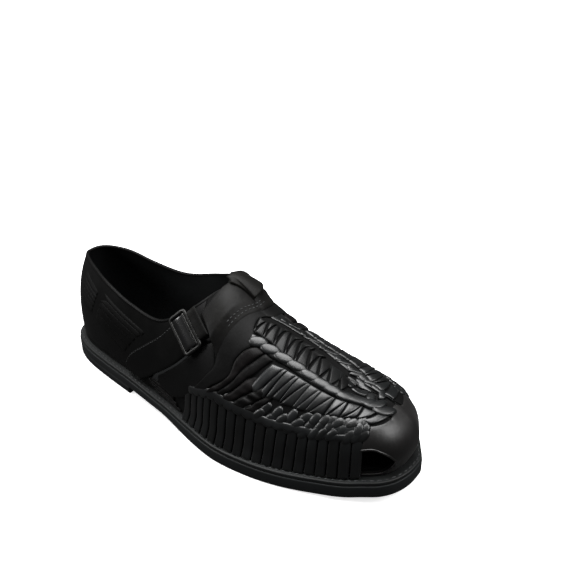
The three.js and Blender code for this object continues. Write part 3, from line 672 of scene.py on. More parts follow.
def thicken(piece, thickness):
    """Gives a sheet a thickness in millimetres, inward from its face."""
    solid = piece.modifiers.new("thickness", "SOLIDIFY")
    solid.thickness, solid.offset = thickness * MM, -1
    return solid


wall_r, wall_s, wall_faces = cut_out(*sheet(np.linspace(0, LOOP, 541), np.linspace(0, 1, 60)), HOLES)
wall_points, wall_faces = used_only(skin(wall, wall_r, wall_s, -0.2), wall_faces)
upper = weld(new_piece("upper_wall", wall_points, wall_faces, calf, "upper"))
upper.data.materials.append(lining)
upper_solid = thicken(upper, 1.8)
upper_solid.material_offset, upper_solid.material_offset_rim = 1, 0
print("upper faces", len(upper.data.polygons))

# %% [markdown]
# ## Strips, knots and bands
# Every cut strip of leather here is a pad: a thin closed cushion over the form, with a round edge all the way. Only
# its four sides and its two heights differ, so one function makes leaves, knots, side strips, straps and patches. The
# places are given on the form, as (row, across), and a piece can never float or sink.

# %% Pads over the form
def pads(name, places, low, high, material, power=(6, 4), node=None, seed=1, lift=0.0):
    """Closed pads, one for each grid of places (count, u, v, 2), from low to high millimetres over the form. Halfway
    between the two lies the pad's edge; top and underside leave it as middle +- half * rounded(u) * rounded(v)."""
    places = np.asarray(places, float)
    count, nu, nv = places.shape[:3]
    round_off = rounded(even(nu), power[0])[:, None] * rounded(even(nv), power[1])[None, :]
    low, high, lift = (np.broadcast_to(np.asarray(a, float), (count, nu, nv)) for a in (low, high, lift))
    middle, half = (low + high) / 2 + lift, (high - low) / 2 * round_off
    top = skin(form, places[..., 0], places[..., 1], middle + half)
    underside = skin(form, places[..., 0], places[..., 1], middle - half)
    one = np.concatenate([grid_faces(nu, nv), grid_faces(nu, nv, start=nu * nv)[:, ::-1]])
    faces = (one[None] + (np.arange(count) * 2 * nu * nv)[:, None, None]).reshape(-1, 4)
    piece = new_piece(name, np.stack([top, underside], 1), faces, material, node)
    tone(piece, np.repeat(np.random.default_rng(seed).uniform(-1, 1, count), 2 * nu * nv))
    return weld(piece, 1e-6)


def patch(corners, nu, nv, width=1.0):
    """Places between four corners: rear top, rear foot, front foot, front top. u runs down, v from rear to front, and
    a width under 1 draws both sides in."""
    corners = np.asarray(corners, float)
    u, v = even(nu)[:, None, None], (0.5 + (even(nv) - 0.5) * width)[None, :, None]
    a, b, c, d = (corners[:, None, None, k] for k in range(4))
    return (a * (1 - u) + b * u) * (1 - v) + (d * (1 - u) + c * u) * v


def band(rows, nu, nv):
    """Places and extra lift of a band whose rear and front edge run smoothly through a table of rows."""
    table = catmull([[*rear, *front, lift] for rear, front, lift in rows], even(nu) * (len(rows) - 1))
    v = even(nv)[None, :, None]
    return (table[:, None, 0:2] * (1 - v) + table[:, None, 2:4] * v)[None], table[:, 4][None, :, None]


print("a patch's grid:", patch([((0, 1), (0, 0), (1, 0), (1, 1))], 5, 4).shape)

# %% [markdown]
# ## Ovals, edges, sides and cords
# Knots are ovals of a size in millimetres, so their places need the size of a row and of a share on the form. Long
# pieces lie between two drawn edges, most pieces come on both sides, and round ones are cords along a path.

# %% More ways to lay out pieces
def scale(centres):
    """Millimetres for one row and for one share at each place, by differences."""
    r, s = centres[..., 0], centres[..., 1]
    along = np.linalg.norm(form(r + 0.05, s) - form(r - 0.05, s), axis=-1) / 0.1
    over = np.linalg.norm(form(r, s + 0.01) - form(r, s - 0.01), axis=-1) / 0.02
    return np.stack([along, over], -1)


def ovals(centres, angle, long, wide):
    """Places of small oval pads around centres: the unit square is bent to a disc, x = u sqrt(1 - v^2 / 2) and the
    same for y, then stretched to the given millimetres and turned by angle from the row direction."""
    centres = np.asarray(centres, float)
    angle = np.broadcast_to(np.asarray(angle, float), len(centres))[:, None, None]
    u, v = 2 * even(9)[None, :, None] - 1, 2 * even(9)[None, None, :] - 1
    a, b = u * np.sqrt(1 - v**2 / 2) * long / 2, v * np.sqrt(1 - u**2 / 2) * wide / 2
    x, y = a * np.cos(angle) - b * np.sin(angle), a * np.sin(angle) + b * np.cos(angle)
    return centres[:, None, None] + np.stack([x, y], -1) / scale(centres)[:, None, None]


def between(low, high, nu, nv):
    """Places between two smooth edges, each a list of (row, share)."""
    at = even(nu)
    a, b = catmull(low, at * (len(low) - 1)), catmull(high, at * (len(high) - 1))
    v = even(nv)[None, :, None]
    return (a[:, None] * (1 - v) + b[:, None] * v)[None]


def mirrored(places):
    """The same places over the crest, on the inner side."""
    return np.stack([places[..., 0], 2 - places[..., 1]], -1)


def both_sides(name, places, *heights, across=mirrored, **options):
    """The same pads on the outer and on the inner side."""
    for label, grid in (("outer", places), ("inner", across(places))):
        pads(f"{name}_{label}", grid, *heights, **options)


def tube(name, path, normals, radius, material, sides=10):
    """Round cord along a path; its ring is radius * (cos, sin), and both ends close in a half circle."""
    path = np.asarray(path, float)
    along = unit(np.gradient(path, axis=0))
    a = unit(normals - along * (normals * along).sum(-1, keepdims=True))
    b = np.cross(along, a)
    run = distances(path)
    near = np.clip(np.minimum(run, run[-1] - run) / radius, 0, 1)
    size = radius * np.sqrt(1 - (1 - near)**2)
    turn = np.linspace(0, 2 * np.pi, sides, endpoint=False)
    ring_points = (path[:, None] + size[:, None, None] * (b[:, None] * np.cos(turn)[None, :, None]
                                                          + a[:, None] * np.sin(turn)[None, :, None]))
    return weld(new_piece(name, ring_points, grid_faces(len(path), sides, loop_v=True), material), 1e-6)


print("an oval's grid:", ovals([(10.0, 0.5)], 0, 12, 6).shape)

# %% [markdown]
# ## Side strips
# Narrow strips come up from the welt on both sides. Each is turned out a little where it meets the welt, and that
# square end is what catches the light in the photograph.

# %% Strips from the welt
STRIP_TOP = [(0, 0.26), (8, 0.27), (9.5, 0.295), (11.3, 0.335), (12.8, 0.395), (15, 0.43)]  # row, share at the top
PITCH, LEAN, STRIP_FOOT = 6.9, 0.12, 0.012


def run_rows(first, last, pitch):
    """Rows that divide the feather line into equal steps of about one pitch."""
    rows = np.linspace(first, last, 400)
    run = distances(feather(rows))
    count = int(round(run[-1] / pitch))
    return np.interp(np.linspace(0, run[-1], count + 1), run, rows)


strip_edges = run_rows(6.9, 12.68, PITCH)
strip_tops = eased(STRIP_TOP, strip_edges) + 0.03
rear, front = strip_edges[:-1], strip_edges[1:]
foot = np.full(len(rear), STRIP_FOOT)
corners = np.stack([np.stack(corner, -1) for corner in ((rear + LEAN, strip_tops[:-1]), (rear, foot), (front, foot),
                                                        (front + LEAN, strip_tops[1:]))], 1)
strip_places = patch(corners, 22, 9, 0.90)
turned = 3.6 * np.clip(1 - strip_places[..., 1] / 0.115, 0, 1)**1.5
both_sides("side_strips", strip_places, -0.5, 1.1, calf_weave, power=(16, 5), lift=turned, seed=3)
print("side strips a side:", len(strip_places))

# %% [markdown]
# ## The scalloped edge
# A narrow lip covers the upper ends of the strips. It is drawn up a little between two strips, so its lower edge is a
# row of small arches: the height of an arch is |sin|^0.6 over one strip.

# %% The scalloped edge over the strips
lip_rows = np.linspace(7.15, 12.72, 420)
lip_phase = np.interp(lip_rows, strip_edges, np.arange(len(strip_edges)))
scallop = 0.016 * np.abs(np.sin(np.pi * lip_phase))**0.6
lip_low = eased(STRIP_TOP, lip_rows) - scallop + 0.008
lip_shares = lip_low[:, None] + (0.048 + scallop[:, None]) * even(9)[None, :]
lip_places = np.stack(np.broadcast_arrays(lip_rows[:, None], lip_shares), -1)[None]
both_sides("scalloped_edge", lip_places, -0.4, 1.9, calf_weave, power=(60, 4), seed=4)
print("scalloped edge:", lip_places.shape)

# %% [markdown]
# ## The weave
# A strand runs along each side of the instep, and flat strips are pulled round it. Between two strips the backing,
# painted nearly black as painted shade, shows as a dark slit, and the slits zigzag, so the strips look like pointed
# leaves that lie up and down in turn. The ends of the slits were read off the photograph onto the form.

# %% Nodes of the weave
SPINE_LOW = [(8.95, 0.705), (9.25, 0.705), (9.65, 0.700), (10.08, 0.712), (10.43, 0.708), (10.78, 0.706),
             (11.15, 0.712), (11.70, 0.728), (12.25, 0.745), (13.10, 0.772), (14.05, 0.742), (14.43, 0.660)]
SPINE_HIGH = [(8.95, 0.760), (9.43, 0.778), (9.90, 0.765), (10.22, 0.770), (10.55, 0.778), (10.93, 0.770),
              (11.30, 0.768), (11.70, 0.782), (12.30, 0.812), (13.10, 0.855), (14.05, 0.863), (14.70, 0.740)]
TOP_NODES = np.array([(9.65, 0.670), (10.08, 0.695), (10.43, 0.703), (10.78, 0.703), (11.15, 0.705),
                      (11.70, 0.722), (12.25, 0.742), (13.10, 0.765), (14.10, 0.720), (14.43, 0.635)])
LONG_ENDS = np.array([(9.15, 0.455), (9.40, 0.445), (9.80, 0.470), (10.05, 0.462), (10.45, 0.470),
                      (10.80, 0.485), (11.43, 0.530), (12.00, 0.565), (12.75, 0.610), (13.28, 0.572)])
STEEP_ENDS = np.array([(9.20, 0.450), (9.62, 0.444), (10.05, 0.475), (10.44, 0.478), (10.78, 0.490),
                       (11.36, 0.522), (11.95, 0.565), (12.62, 0.608)])
CREST_NODES = np.array([(9.02, 0.775), (9.30, 0.780), (9.60, 0.785), (9.92, 0.758), (10.22, 0.760),
                        (10.60, 0.772), (10.95, 0.757), (11.35, 0.752), (11.85, 0.785), (12.75, 0.845)])
CREST_STEEP = np.array([(9.05, 0.930), (9.32, 0.960), (9.60, 1.000), (9.88, 1.010), (10.20, 1.040),
                        (10.53, 1.060), (10.88, 1.040), (11.30, 1.019), (11.80, 1.015)])
CREST_LONG = np.array([(9.28, 0.935), (9.55, 1.019), (9.82, 1.069), (10.15, 1.081), (10.48, 1.087),
                       (10.93, 1.060), (11.50, 1.022), (12.20, 1.022), (12.80, 1.010)])


def leaves(nodes, steep, long_ends, up_to):
    """Corners of the leaves: from each node one leaf runs down between its two slits, and the next lies between the
    slits of two neighbours."""
    found = []
    for k in range(1, up_to):
        found.append((nodes[k], long_ends[k], steep[k], nodes[k]))
        found.append((nodes[k], steep[k], long_ends[k + 1], nodes[k + 1]))
    return found


outer_leaves = leaves(TOP_NODES, STEEP_ENDS, LONG_ENDS, 8)
outer_leaves += [(TOP_NODES[k], LONG_ENDS[k], LONG_ENDS[k + 1], TOP_NODES[k + 1]) for k in (0, 8)]
crest_leaves = []
for k in range(9):
    crest_leaves.append((CREST_LONG[k], CREST_NODES[k], CREST_NODES[k], CREST_STEEP[k]))
    if k < 8:
        crest_leaves.append((CREST_LONG[k], CREST_NODES[k], CREST_NODES[k + 1], CREST_STEEP[k + 1]))


def opened(found, share=0.10):
    """Leaves with a little width at their points, so that they end blunt like a cut strip."""
    found = np.array(found, float)
    for a, b in ((0, 3), (1, 2)):
        shut = np.linalg.norm((found[:, a] - found[:, b]) * (1, 4), axis=-1) < 0.05
        found[shut, a] -= (share / 2, 0)
        found[shut, b] += (share / 2, 0)
    return found


def inner_side(places):
    """Mirrored leaves, drawn up towards the inner strand: shares over 0.45 are stretched by 2/5."""
    share = places[..., 1]
    return np.stack([places[..., 0], 2 - share - 0.4 * np.clip(share - 0.45, 0, None)], -1)


LEAF_U, LEAF_V = 15, 13
outer_places = patch(opened(outer_leaves), LEAF_U, LEAF_V, 0.87)
crest_places = patch(opened(crest_leaves), LEAF_U, LEAF_V, 0.88)


def tilted(count, seed, amount=0.25):
    """Lift that leans each leaf to one side and lets it swell along its run, a little different for each."""
    draw = np.random.default_rng(seed)
    side_lean = draw.uniform(-1, 1, count)[:, None, None] * (even(LEAF_V)[None, None, :] - 0.5) * 2
    phase = draw.uniform(0, 6, count)[:, None, None]
    return amount * (side_lean + 0.5 * np.sin(phase + 4 * even(LEAF_U)[None, :, None]))


both_sides("weave_leaves", outer_places, -0.9, 2.0, calf_weave, across=inner_side, power=(10, 4.5),
           lift=tilted(len(outer_places), 5), seed=5)
pads("weave_leaves_crest", crest_places, -0.9, 2.0, calf_crest, power=(10, 4.5), lift=tilted(len(crest_places), 6),
     seed=6)
print("leaves:", 2 * len(outer_places) + len(crest_places))

# %% [markdown]
# ## Backing and strands
# Under the leaves lies one dull backing, painted nearly black as painted shade, which is all that shows in the slits.
# The strands are long round pads between two edges, and the band behind the weave goes over the instep in one piece.

# %% Backing and strands
backing_rows = np.linspace(7.4, 14.3, 160)[:, None]
backing_low = np.minimum(eased(STRIP_TOP, backing_rows) + 0.02, 0.60)
backing_shares = backing_low + (2 - 2 * backing_low) * even(60)[None, :]
backing = np.stack(np.broadcast_arrays(backing_rows, backing_shares), -1)[None]
# The backing wears the painted-shade material: its near-black colour stands for the shade deep in the slits.
pads("weave_backing", backing, -0.2, 0.55, calf_shadow, power=(60, 60), seed=7)

INNER_LOW = [(8.85, 1.000), (9.28, 1.040), (9.55, 1.085), (9.82, 1.105), (10.15, 1.115), (10.48, 1.118),
             (10.93, 1.100), (11.50, 1.075), (12.20, 1.060), (12.80, 1.060), (13.60, 1.090), (14.43, 1.260)]
INNER_HIGH = [(8.75, 1.250), (9.25, 1.235), (9.65, 1.220), (10.08, 1.190), (10.43, 1.180), (10.78, 1.178),
              (11.15, 1.178), (11.70, 1.158), (12.25, 1.140), (13.10, 1.112), (14.05, 1.160), (14.70, 1.335)]
pads("weave_strand_outer", between(SPINE_LOW, SPINE_HIGH, 90, 13), -0.3, 2.2, calf_weave, power=(20, 3), seed=8)
pads("weave_strand_inner", between(INNER_LOW, INNER_HIGH, 90, 13), -0.3, 1.5, calf_weave, power=(20, 3), seed=8)

REAR_LOW = np.array([(7.72, 0.300), (8.20, 0.372), (8.54, 0.450), (8.64, 0.537), (8.85, 0.619), (9.12, 0.705),
                     (9.02, 0.800), (9.06, 0.900)])
REAR_HIGH = np.array([(7.30, 0.310), (7.72, 0.385), (7.96, 0.425), (8.04, 0.480), (7.95, 0.560),
                      (8.05, 0.640), (8.24, 0.750), (8.45, 0.880)])
CREST_LOW, CREST_HIGH = [(9.22, 1.000), (9.26, 1.100)], [(8.55, 1.000), (8.45, 1.100)]
REAR_LOW, REAR_HIGH = (np.concatenate([line, top, inner_side(line[:6])[::-1]])
                       for line, top in ((REAR_LOW, CREST_LOW), (REAR_HIGH, CREST_HIGH)))
pads("vamp_rear_band", between(REAR_LOW, REAR_HIGH, 160, 25), -0.3, 1.9, calf, power=(60, 10), seed=15)
print("backing", backing.shape, "rear band rows", len(REAR_LOW))

# %% [markdown]
# ## Knots and twists
# Where the strips pass round each other they make small knots in three rows below the leaves, and the strands look
# like a row of turned beads. Each is an oval pad; the knots are moved and turned by a small random amount, because no
# two are alike.

# %% Knots under the leaves, twists of the strands
KNOTS = np.array([
    (8.50, 0.322), (9.08, 0.336), (9.53, 0.350), (9.68, 0.398),
    (10.00, 0.410), (10.38, 0.422), (10.80, 0.452), (11.10, 0.466), (11.38, 0.483), (11.66, 0.500), (11.93, 0.515),
    (12.22, 0.530), (12.50, 0.545), (12.78, 0.562), (13.00, 0.580), (9.86, 0.360), (10.20, 0.374), (10.58, 0.388),
    (10.94, 0.402), (11.24, 0.415), (11.54, 0.432), (11.82, 0.448), (12.10, 0.464), (12.38, 0.478), (12.66, 0.496),
    (12.90, 0.515), (10.40, 0.336), (10.76, 0.346), (11.08, 0.358), (11.40, 0.372), (11.70, 0.388), (12.00, 0.402),
    (12.28, 0.418), (12.56, 0.434), (12.84, 0.452)])
jitter = np.random.default_rng(11)
knot_centres = KNOTS + jitter.normal(0, 1, KNOTS.shape) * (0.03, 0.004)
knot_turn = np.radians(47) + jitter.normal(0, 0.12, len(knot_centres))
knots = ovals(knot_centres, knot_turn, 12.0, 5.7)
knot_lift = jitter.uniform(-0.35, 0.25, len(knot_centres))[:, None, None]

TWISTS = [(9.20, 0.735), (9.55, 0.745), (9.95, 0.752), (10.33, 0.760), (10.75, 0.760), (11.18, 0.764), (11.62, 0.772),
          (12.23, 0.785), (12.80, 0.800), (13.35, 0.812), (13.95, 0.785), (14.28, 0.700)]
FRONT_TWISTS = [(12.20, 1.095), (12.55, 1.100), (12.55, 0.960), (12.95, 1.010), (13.05, 1.125), (13.40, 0.930),
                (13.50, 1.040), (13.80, 1.150), (13.95, 0.930), (14.10, 1.050), (14.30, 1.180), (14.45, 0.880)]
INNER_TWISTS = [(9.35, 1.150), (9.62, 1.165), (9.90, 1.155), (10.20, 1.160), (10.48, 1.150), (10.76, 1.152),
                (11.05, 1.140), (11.35, 1.130), (11.65, 1.118), (11.95, 1.110)]
TWIST_TURN = [30, 22, 18, 15, 12, 14, 16, 18, 14, 10, -8, -25]
FRONT_TURN = [60, -20, 55, -15, 70, 40, -25, 50, 20, 65, -10, 30]
INNER_TURN = [-50, 35, -45, 40, -50, 38, -46, 42, -40, 45]
# name, centres, angles in degrees, length and width, low and high, power of the round, seed
for name, centres, angles, size, heights, power, seed in (
        ("strand_twists_outer", TWISTS, TWIST_TURN, (17.0, 6.6), (0.0, 3.0), (5, 3.5), 19),
        ("front_twists", FRONT_TWISTS, FRONT_TURN, (9.5, 5.4), (-0.6, 2.0), (5, 4), 24),
        ("strand_twists_inner", INNER_TWISTS, INNER_TURN, (8.5, 4.6), (-0.4, 2.0), (4, 3), 25)):
    pads(name, ovals(centres, np.radians(angles), *size), *heights, calf_weave, power=power, seed=seed)
both_sides("weave_knots", knots, -1.3, 1.9, calf_weave, power=(4, 3), lift=knot_lift, seed=9)
print("knots a side:", len(knots))

# %% [markdown]
# ## Pleats
# Behind the leaves the vamp is drawn together in five pleats that fan out from the strand. They lie between six
# folds, and a sum of three sines gives each its own wrinkles.

# %% Pleats behind the weave
FOLDS = [[(9.20, 0.706), (8.83, 0.619), (8.62, 0.537), (8.52, 0.450), (8.18, 0.369), (7.70, 0.290)],
         [(9.45, 0.700), (9.12, 0.588), (8.90, 0.525), (8.68, 0.445), (8.40, 0.372), (8.00, 0.300)],
         [(9.70, 0.690), (9.30, 0.550), (9.05, 0.488), (8.84, 0.430), (8.58, 0.368), (8.28, 0.312)],
         [(10.03, 0.690), (9.62, 0.537), (9.38, 0.475), (9.18, 0.430), (8.95, 0.385), (8.68, 0.325)],
         [(10.12, 0.690), (9.90, 0.556), (9.68, 0.469), (9.50, 0.425), (9.32, 0.385), (9.08, 0.335)],
         [(10.23, 0.690), (10.02, 0.556), (9.88, 0.478), (9.76, 0.440), (9.62, 0.395), (9.44, 0.345)]]


def pleat(k, first, width=0.93):
    """Places of the pleat between two folds, from a fold's point down to its foot."""
    places = between(FOLDS[k][first:], FOLDS[k + 1][first:], PLEAT_U, 11)
    middle = places.mean(2, keepdims=True)
    return middle + (places - middle) * width


PLEAT_U = 40
pleats = np.concatenate([pleat(0, 0), pleat(1, 0), pleat(2, 1), pleat(3, 1), pleat(4, 1)])
wrinkle, pleat_run = np.random.default_rng(10), even(PLEAT_U)[None, :, None]
wave = sum(wrinkle.uniform(-0.42, 0.42, (5, 1, 1)) * np.sin(wrinkle.uniform(0, 6, (5, 1, 1)) + pace * pleat_run)
           for pace in (9, 15, 24))
wave = wave - 1.6 * np.array([0, 0, 1, 1, 1])[:, None, None] * np.clip(1 - pleat_run / 0.4, 0, 1)
both_sides("pleated_strips", pleats, -0.5, 2.1, calf_pleat, across=inner_side, power=(12, 3.4), lift=wave, seed=10)
print("pleats a side:", len(pleats))

# %% [markdown]
# ## Toe cap
# One smooth piece of polished leather covers the toes, with a cut-out at each corner. It is stretched wet over the
# last, so it has no crease, only the line where its edge lies on the weave. The grid is bent to that edge first and
# cut afterwards, so both edges come out clean.

# %% The cap and its cut-outs
CAP_EDGE = [(12.68, 0.29), (12.85, 0.43), (13.28, 0.575), (14.40, 0.620), (14.70, 0.690), (15.00, 0.700),
            (15.30, 0.690), (15.60, 0.620), (16.72, 0.575), (17.15, 0.43), (17.32, 0.29)]
CAP_ROWS, CAP_SHARES, CAP_STEP = 241, 46, 0.05
cap_rows = np.linspace(CAP_EDGE[0][0], CAP_EDGE[-1][0], CAP_ROWS)
cap_top = np.interp(cap_rows, *np.array(CAP_EDGE).T)
cap_r, cap_w, cap_faces = sheet(cap_rows, np.linspace(0.01, 1, CAP_SHARES))
cap_share = (cap_w.reshape(CAP_ROWS, CAP_SHARES) * cap_top[:, None]).ravel()
cap_r, cap_s, cap_faces = cut_out(cap_r, cap_share, cap_faces, [CAP_OUTER, CAP_INNER])
cap_lift = 0.25 + 0.55 * np.clip((np.interp(cap_r, cap_rows, cap_top) - cap_s) / CAP_STEP, 0, 1)**0.5
cap = weld(new_piece("polished_toe_cap", *used_only(skin(wall, cap_r, cap_s, cap_lift), cap_faces), calf_cap))
thicken(cap, 0.9)

for label, hole in (("outer", CAP_OUTER), ("inner", CAP_INNER)):
    arc = hole[hole[:, 1] > 0.06]
    arc = arc[np.argsort(np.arctan2(arc[:, 1] - 0.06, (arc[:, 0] - hole[:, 0].mean())))]
    rim_path = skin(wall, arc[:, 0], arc[:, 1], 0.5)
    rim_up = skin(wall, arc[:, 0], arc[:, 1], 1.5) - rim_path
    tube("cap_opening_rim_" + label, rim_path, rim_up, 0.75, calf_cap)
print("toe cap faces", len(cap.data.polygons))

# %% [markdown]
# ## Counter and quarters
# Behind the side openings the upper is plain leather with a few flat strips laced through it, which slant towards
# each other like a herringbone. The photograph shows them on the side only, so the middle of the heel stays plain.
# They stand up by less than a millimetre.

# %% Counter strips and the panel under the strap
FRONT_SLITS = [((3.95, 0.83), (5.60, 0.715)), ((4.15, 0.74), (5.50, 0.640)), ((3.88, 0.65), (5.35, 0.560)),
               ((3.84, 0.56), (5.22, 0.450)), ((3.72, 0.45), (5.05, 0.330)), ((3.68, 0.36), (4.88, 0.213))]
REAR_SLITS = [((2.55, 0.86), (3.70, 0.75)), ((2.50, 0.77), (3.66, 0.660)), ((2.45, 0.69), (3.60, 0.590)),
              ((2.40, 0.61), (3.55, 0.525)), ((2.40, 0.53), (3.46, 0.450)), ((2.45, 0.44), (3.38, 0.375))]
counter_corners = np.array([(a[0], b[0], b[1], a[1]) for slits in (FRONT_SLITS, REAR_SLITS)
                            for a, b in zip(slits, slits[1:])])
counter_corners[:, 1:3, 1] += 0.012
counter_lean = 0.75 * even(9)[None, :, None] - 0.45
both_sides("counter_strips", patch(counter_corners, 9, 40, 0.99), -0.5, 0.3, calf, power=(4, 10),
           lift=counter_lean, seed=12)

PANEL_LOW = [(5.92, 0.14), (6.50, 0.12), (7.15, 0.24), (7.66, 0.34), (8.02, 0.42)]
PANEL_HIGH = [(5.96, 0.24), (6.34, 0.37), (6.78, 0.475), (7.25, 0.560), (7.95, 0.570)]
both_sides("quarter_panel", between(PANEL_LOW, PANEL_HIGH, 40, 20), -0.3, 1.2, calf, power=(14, 10), seed=13)

FAN = [((5.52, 0.150), (5.56, 0.120), (6.50, 0.065), (6.52, 0.120)),
       ((5.56, 0.115), (5.62, 0.085), (6.62, 0.030), (6.60, 0.062)),
       ((5.62, 0.080), (5.70, 0.050), (6.78, 0.008), (6.72, 0.028)),
       ((5.70, 0.045), (5.80, 0.020), (6.88, 0.002), (6.84, 0.007))]
both_sides("fan_strips", patch(FAN, 7, 26, 0.98), -0.3, 0.9, calf_pleat, power=(3, 12), seed=14)
print("counter strips a side:", len(counter_corners), "fan strips:", len(FAN))

# %% [markdown]
# ## Collar binding
# The wall's upper edge is bound with a thin rolled strip. It is a tube along the rim, let in by most of its radius.
# The outer side's opening reaches the rim, so the binding leaves it out.

# %% Collar binding
def rim_tube(name, first, last, count):
    """Tube along the rim between two rows."""
    rows = np.linspace(first, last, count)
    low = skin(wall, rows, np.full(count, 1.0), np.full(count, -0.95))
    return tube(name, low, skin(wall, rows, np.full(count, 1.0), np.full(count, 0.0)) - low, 1.25, calf)


binding = rim_tube("collar_binding", -8.0, 6.50, 330)
rim_tube("collar_binding_outer_end", 6.99, 8.0, 30)
print("binding faces", len(binding.data.polygons))

# %% [markdown]
# ## Strap, sleeve and buckle
# The tab is sewn into the welt and carries the buckle. The strap runs from the inner side through a sleeve on the
# instep to the buckle. They are two layers of leather glued back to back, with round edges and a row of stitches.

# %% Straps
# Each row of a band: the place of its rear edge, that of its front edge, and an extra lift in millimetres.
TAB = [((4.90, 0.08), (5.38, 0.045), 0), ((5.12, 0.26), (5.62, 0.13), 0), ((5.45, 0.46), (5.95, 0.27), 0),
       ((5.85, 0.68), (6.36, 0.40), 0), ((6.30, 0.84), (6.78, 0.495), 0), ((6.66, 0.918), (7.20, 0.580), 0)]
SLEEVE = [((7.36, 0.835), (8.10, 0.455), 0), ((7.60, 0.875), (8.36, 0.620), 0),
          ((7.84, 0.935), (8.70, 0.800), 0.3), ((8.04, 1.000), (9.02, 0.985), 0.8),
          ((7.90, 1.080), (8.92, 1.120), 1.6), ((7.62, 1.180), (8.60, 1.280), 1.2)]


def inside_sleeve(rear, front, lift):
    """Row of the strap where it runs inside the sleeve, between 9 and 69 hundredths of the sleeve's width."""
    low, high = (tuple(a + (b - a) * share for a, b in zip(rear, front)) for share in (0.09, 0.69))
    return low, high, lift


STRAP = ([((6.74, 0.915), (7.26, 0.590), 0), ((7.06, 0.880), (7.60, 0.595), 0)]
         + [inside_sleeve(*row) for row in SLEEVE]
         + [((6.75, 1.270), (7.45, 1.420), 0), ((5.75, 1.450), (6.70, 1.620), 0), ((4.85, 1.700), (5.95, 1.800), 0),
            ((4.65, 1.930), (5.50, 1.950), 0)])

tab_places, tab_lift = band(TAB, 70, 26)
pads("buckle_tab", tab_places, 0.5, 2.5, calf, power=(40, 16), node="quarter_tab", lift=tab_lift, seed=20)
strap_places, strap_lift = band(STRAP, 190, 26)
pads("instep_strap_leather", strap_places, 0.5, 2.5, calf, power=(60, 16), node="instep_strap", lift=strap_lift,
     seed=21)
sleeve_places, sleeve_lift = band(SLEEVE, 100, 60)
# The sleeve is folded over the strap: its top steps down towards the front, its underside leaves the strap room.
v = even(60)[None, None, :]
sleeve_high = np.interp(v, [0, 0.03, 0.25, 0.5, 0.68, 0.76, 0.84, 0.93, 1],
                        [4.0, 4.5, 4.6, 4.6, 4.4, 3.6, 2.7, 2.0, 0.9])
sleeve_low = np.interp(v, [0, 0.05, 0.065, 0.72, 0.76, 1], [0.5, 0.5, 3.2, 3.2, 0.5, 0.5])
pads("instep_sleeve_leather", sleeve_places, sleeve_low, sleeve_high, calf_soft, power=(40, 24), node="instep_sleeve",
     lift=sleeve_lift, seed=22)


def band_path(rows, share, start, end, count, lift):
    """Path along a band at a share of its width."""
    at = np.linspace(start, end, count) * (len(rows) - 1)
    table = catmull([[*rear, *front, extra] for rear, front, extra in rows], at)
    places = table[:, 0:2] * (1 - share) + table[:, 2:4] * share
    low = skin(form, places[:, 0], places[:, 1], table[:, 4] + lift)
    return low, skin(form, places[:, 0], places[:, 1], table[:, 4] + lift + 1) - low


print("straps:", tab_places.shape, strap_places.shape, sleeve_places.shape)

# %% [markdown]
# ## Keeper and seams
# On the inner side the sleeve ends in a soft band that is pulled down over the strap. The seams run at a share of a
# band's width, so they follow its edge.

# %% The band's end and the seams
KEEPER = [((8.03, 0.950), (8.75, 1.000), 0.0), ((7.93, 0.995), (8.68, 1.065), 1.7),
          ((7.68, 1.060), (8.50, 1.150), 2.6), ((7.40, 1.150), (8.15, 1.240), 1.2),
          ((6.92, 1.235), (7.72, 1.360), -1.8), ((6.45, 1.300), (7.20, 1.470), -4.0)]
keeper_places, keeper_lift = band(KEEPER, 60, 24)
pads("inner_strap_end", keeper_places, 4.8, 6.8, calf_soft, power=(50, 24), lift=keeper_lift, seed=23)

for number, (share, height) in enumerate(((0.79, 3.25), (0.865, 2.5))):
    path, up = band_path(SLEEVE, share, 0.22, 0.80, 130, height)
    stitches(f"sleeve_stitches_{number}", path, up, spacing=3.0, length=2.1, width=0.6, proud=0.25)
path, up = band_path(TAB, 0.05, 0.05, 0.93, 160, 2.5)
stitches("tab_stitches_rear", path, up, spacing=3.0, length=2.1, width=0.55, proud=0.2)
print("keeper", keeper_places.shape, "seam points", len(path))

# %% [markdown]
# ## The buckle
# A buckle is stiff, so it doesn't follow the form: it gets a plane of its own, laid through four places on the form.
# The frame is a rounded rectangle swept with a squarish ring, and the strap folds over its bar.

# %% The buckle
REAR_BAR, FRONT_BAR = (6.53, 0.88, 7.10, 0.55), (7.00, 0.92, 7.52, 0.60)
BUCKLE_LIFT = 3.3


def point(row, across, lift):
    """One place over the form."""
    return skin(form, np.array([row]), np.array([across]), np.array([lift]))[0]


buckle_across = unit(point(*REAR_BAR[:2], BUCKLE_LIFT) - point(*REAR_BAR[2:], BUCKLE_LIFT))
middle_row, middle_share = (REAR_BAR[0] + FRONT_BAR[2]) / 2, (REAR_BAR[1] + FRONT_BAR[3]) / 2
buckle_out = unit(point(middle_row, middle_share, 1.0) - point(middle_row, middle_share, 0.0))
buckle_along = unit(np.cross(buckle_across, buckle_out))
buckle_out = unit(np.cross(buckle_along, buckle_across))
buckle_centre = sum(point((bar[0] + bar[2]) / 2, (bar[1] + bar[3]) / 2, BUCKLE_LIFT)
                    for bar in (REAR_BAR, FRONT_BAR)) / 2


def on_buckle(x, y, z):
    """Place in the buckle's own millimetres: along the strap, across it, and out from the leather."""
    return buckle_centre + x[..., None] * buckle_along + y[..., None] * buckle_across + z[..., None] * buckle_out


def round_frame(half_x, half_y, corner, count=12):
    """Closed rounded rectangle: four quarter circles joined by straight sides."""
    turn = np.linspace(0, np.pi / 2, count)
    x, y = half_x - corner, half_y - corner
    arcs = []
    for k, centre in enumerate(((x, y), (-x, y), (-x, -y), (x, -y))):
        angle = turn + k * np.pi / 2
        arcs.append(np.array(centre) + corner * np.stack([np.cos(angle), np.sin(angle)], -1))
    return np.concatenate(arcs)


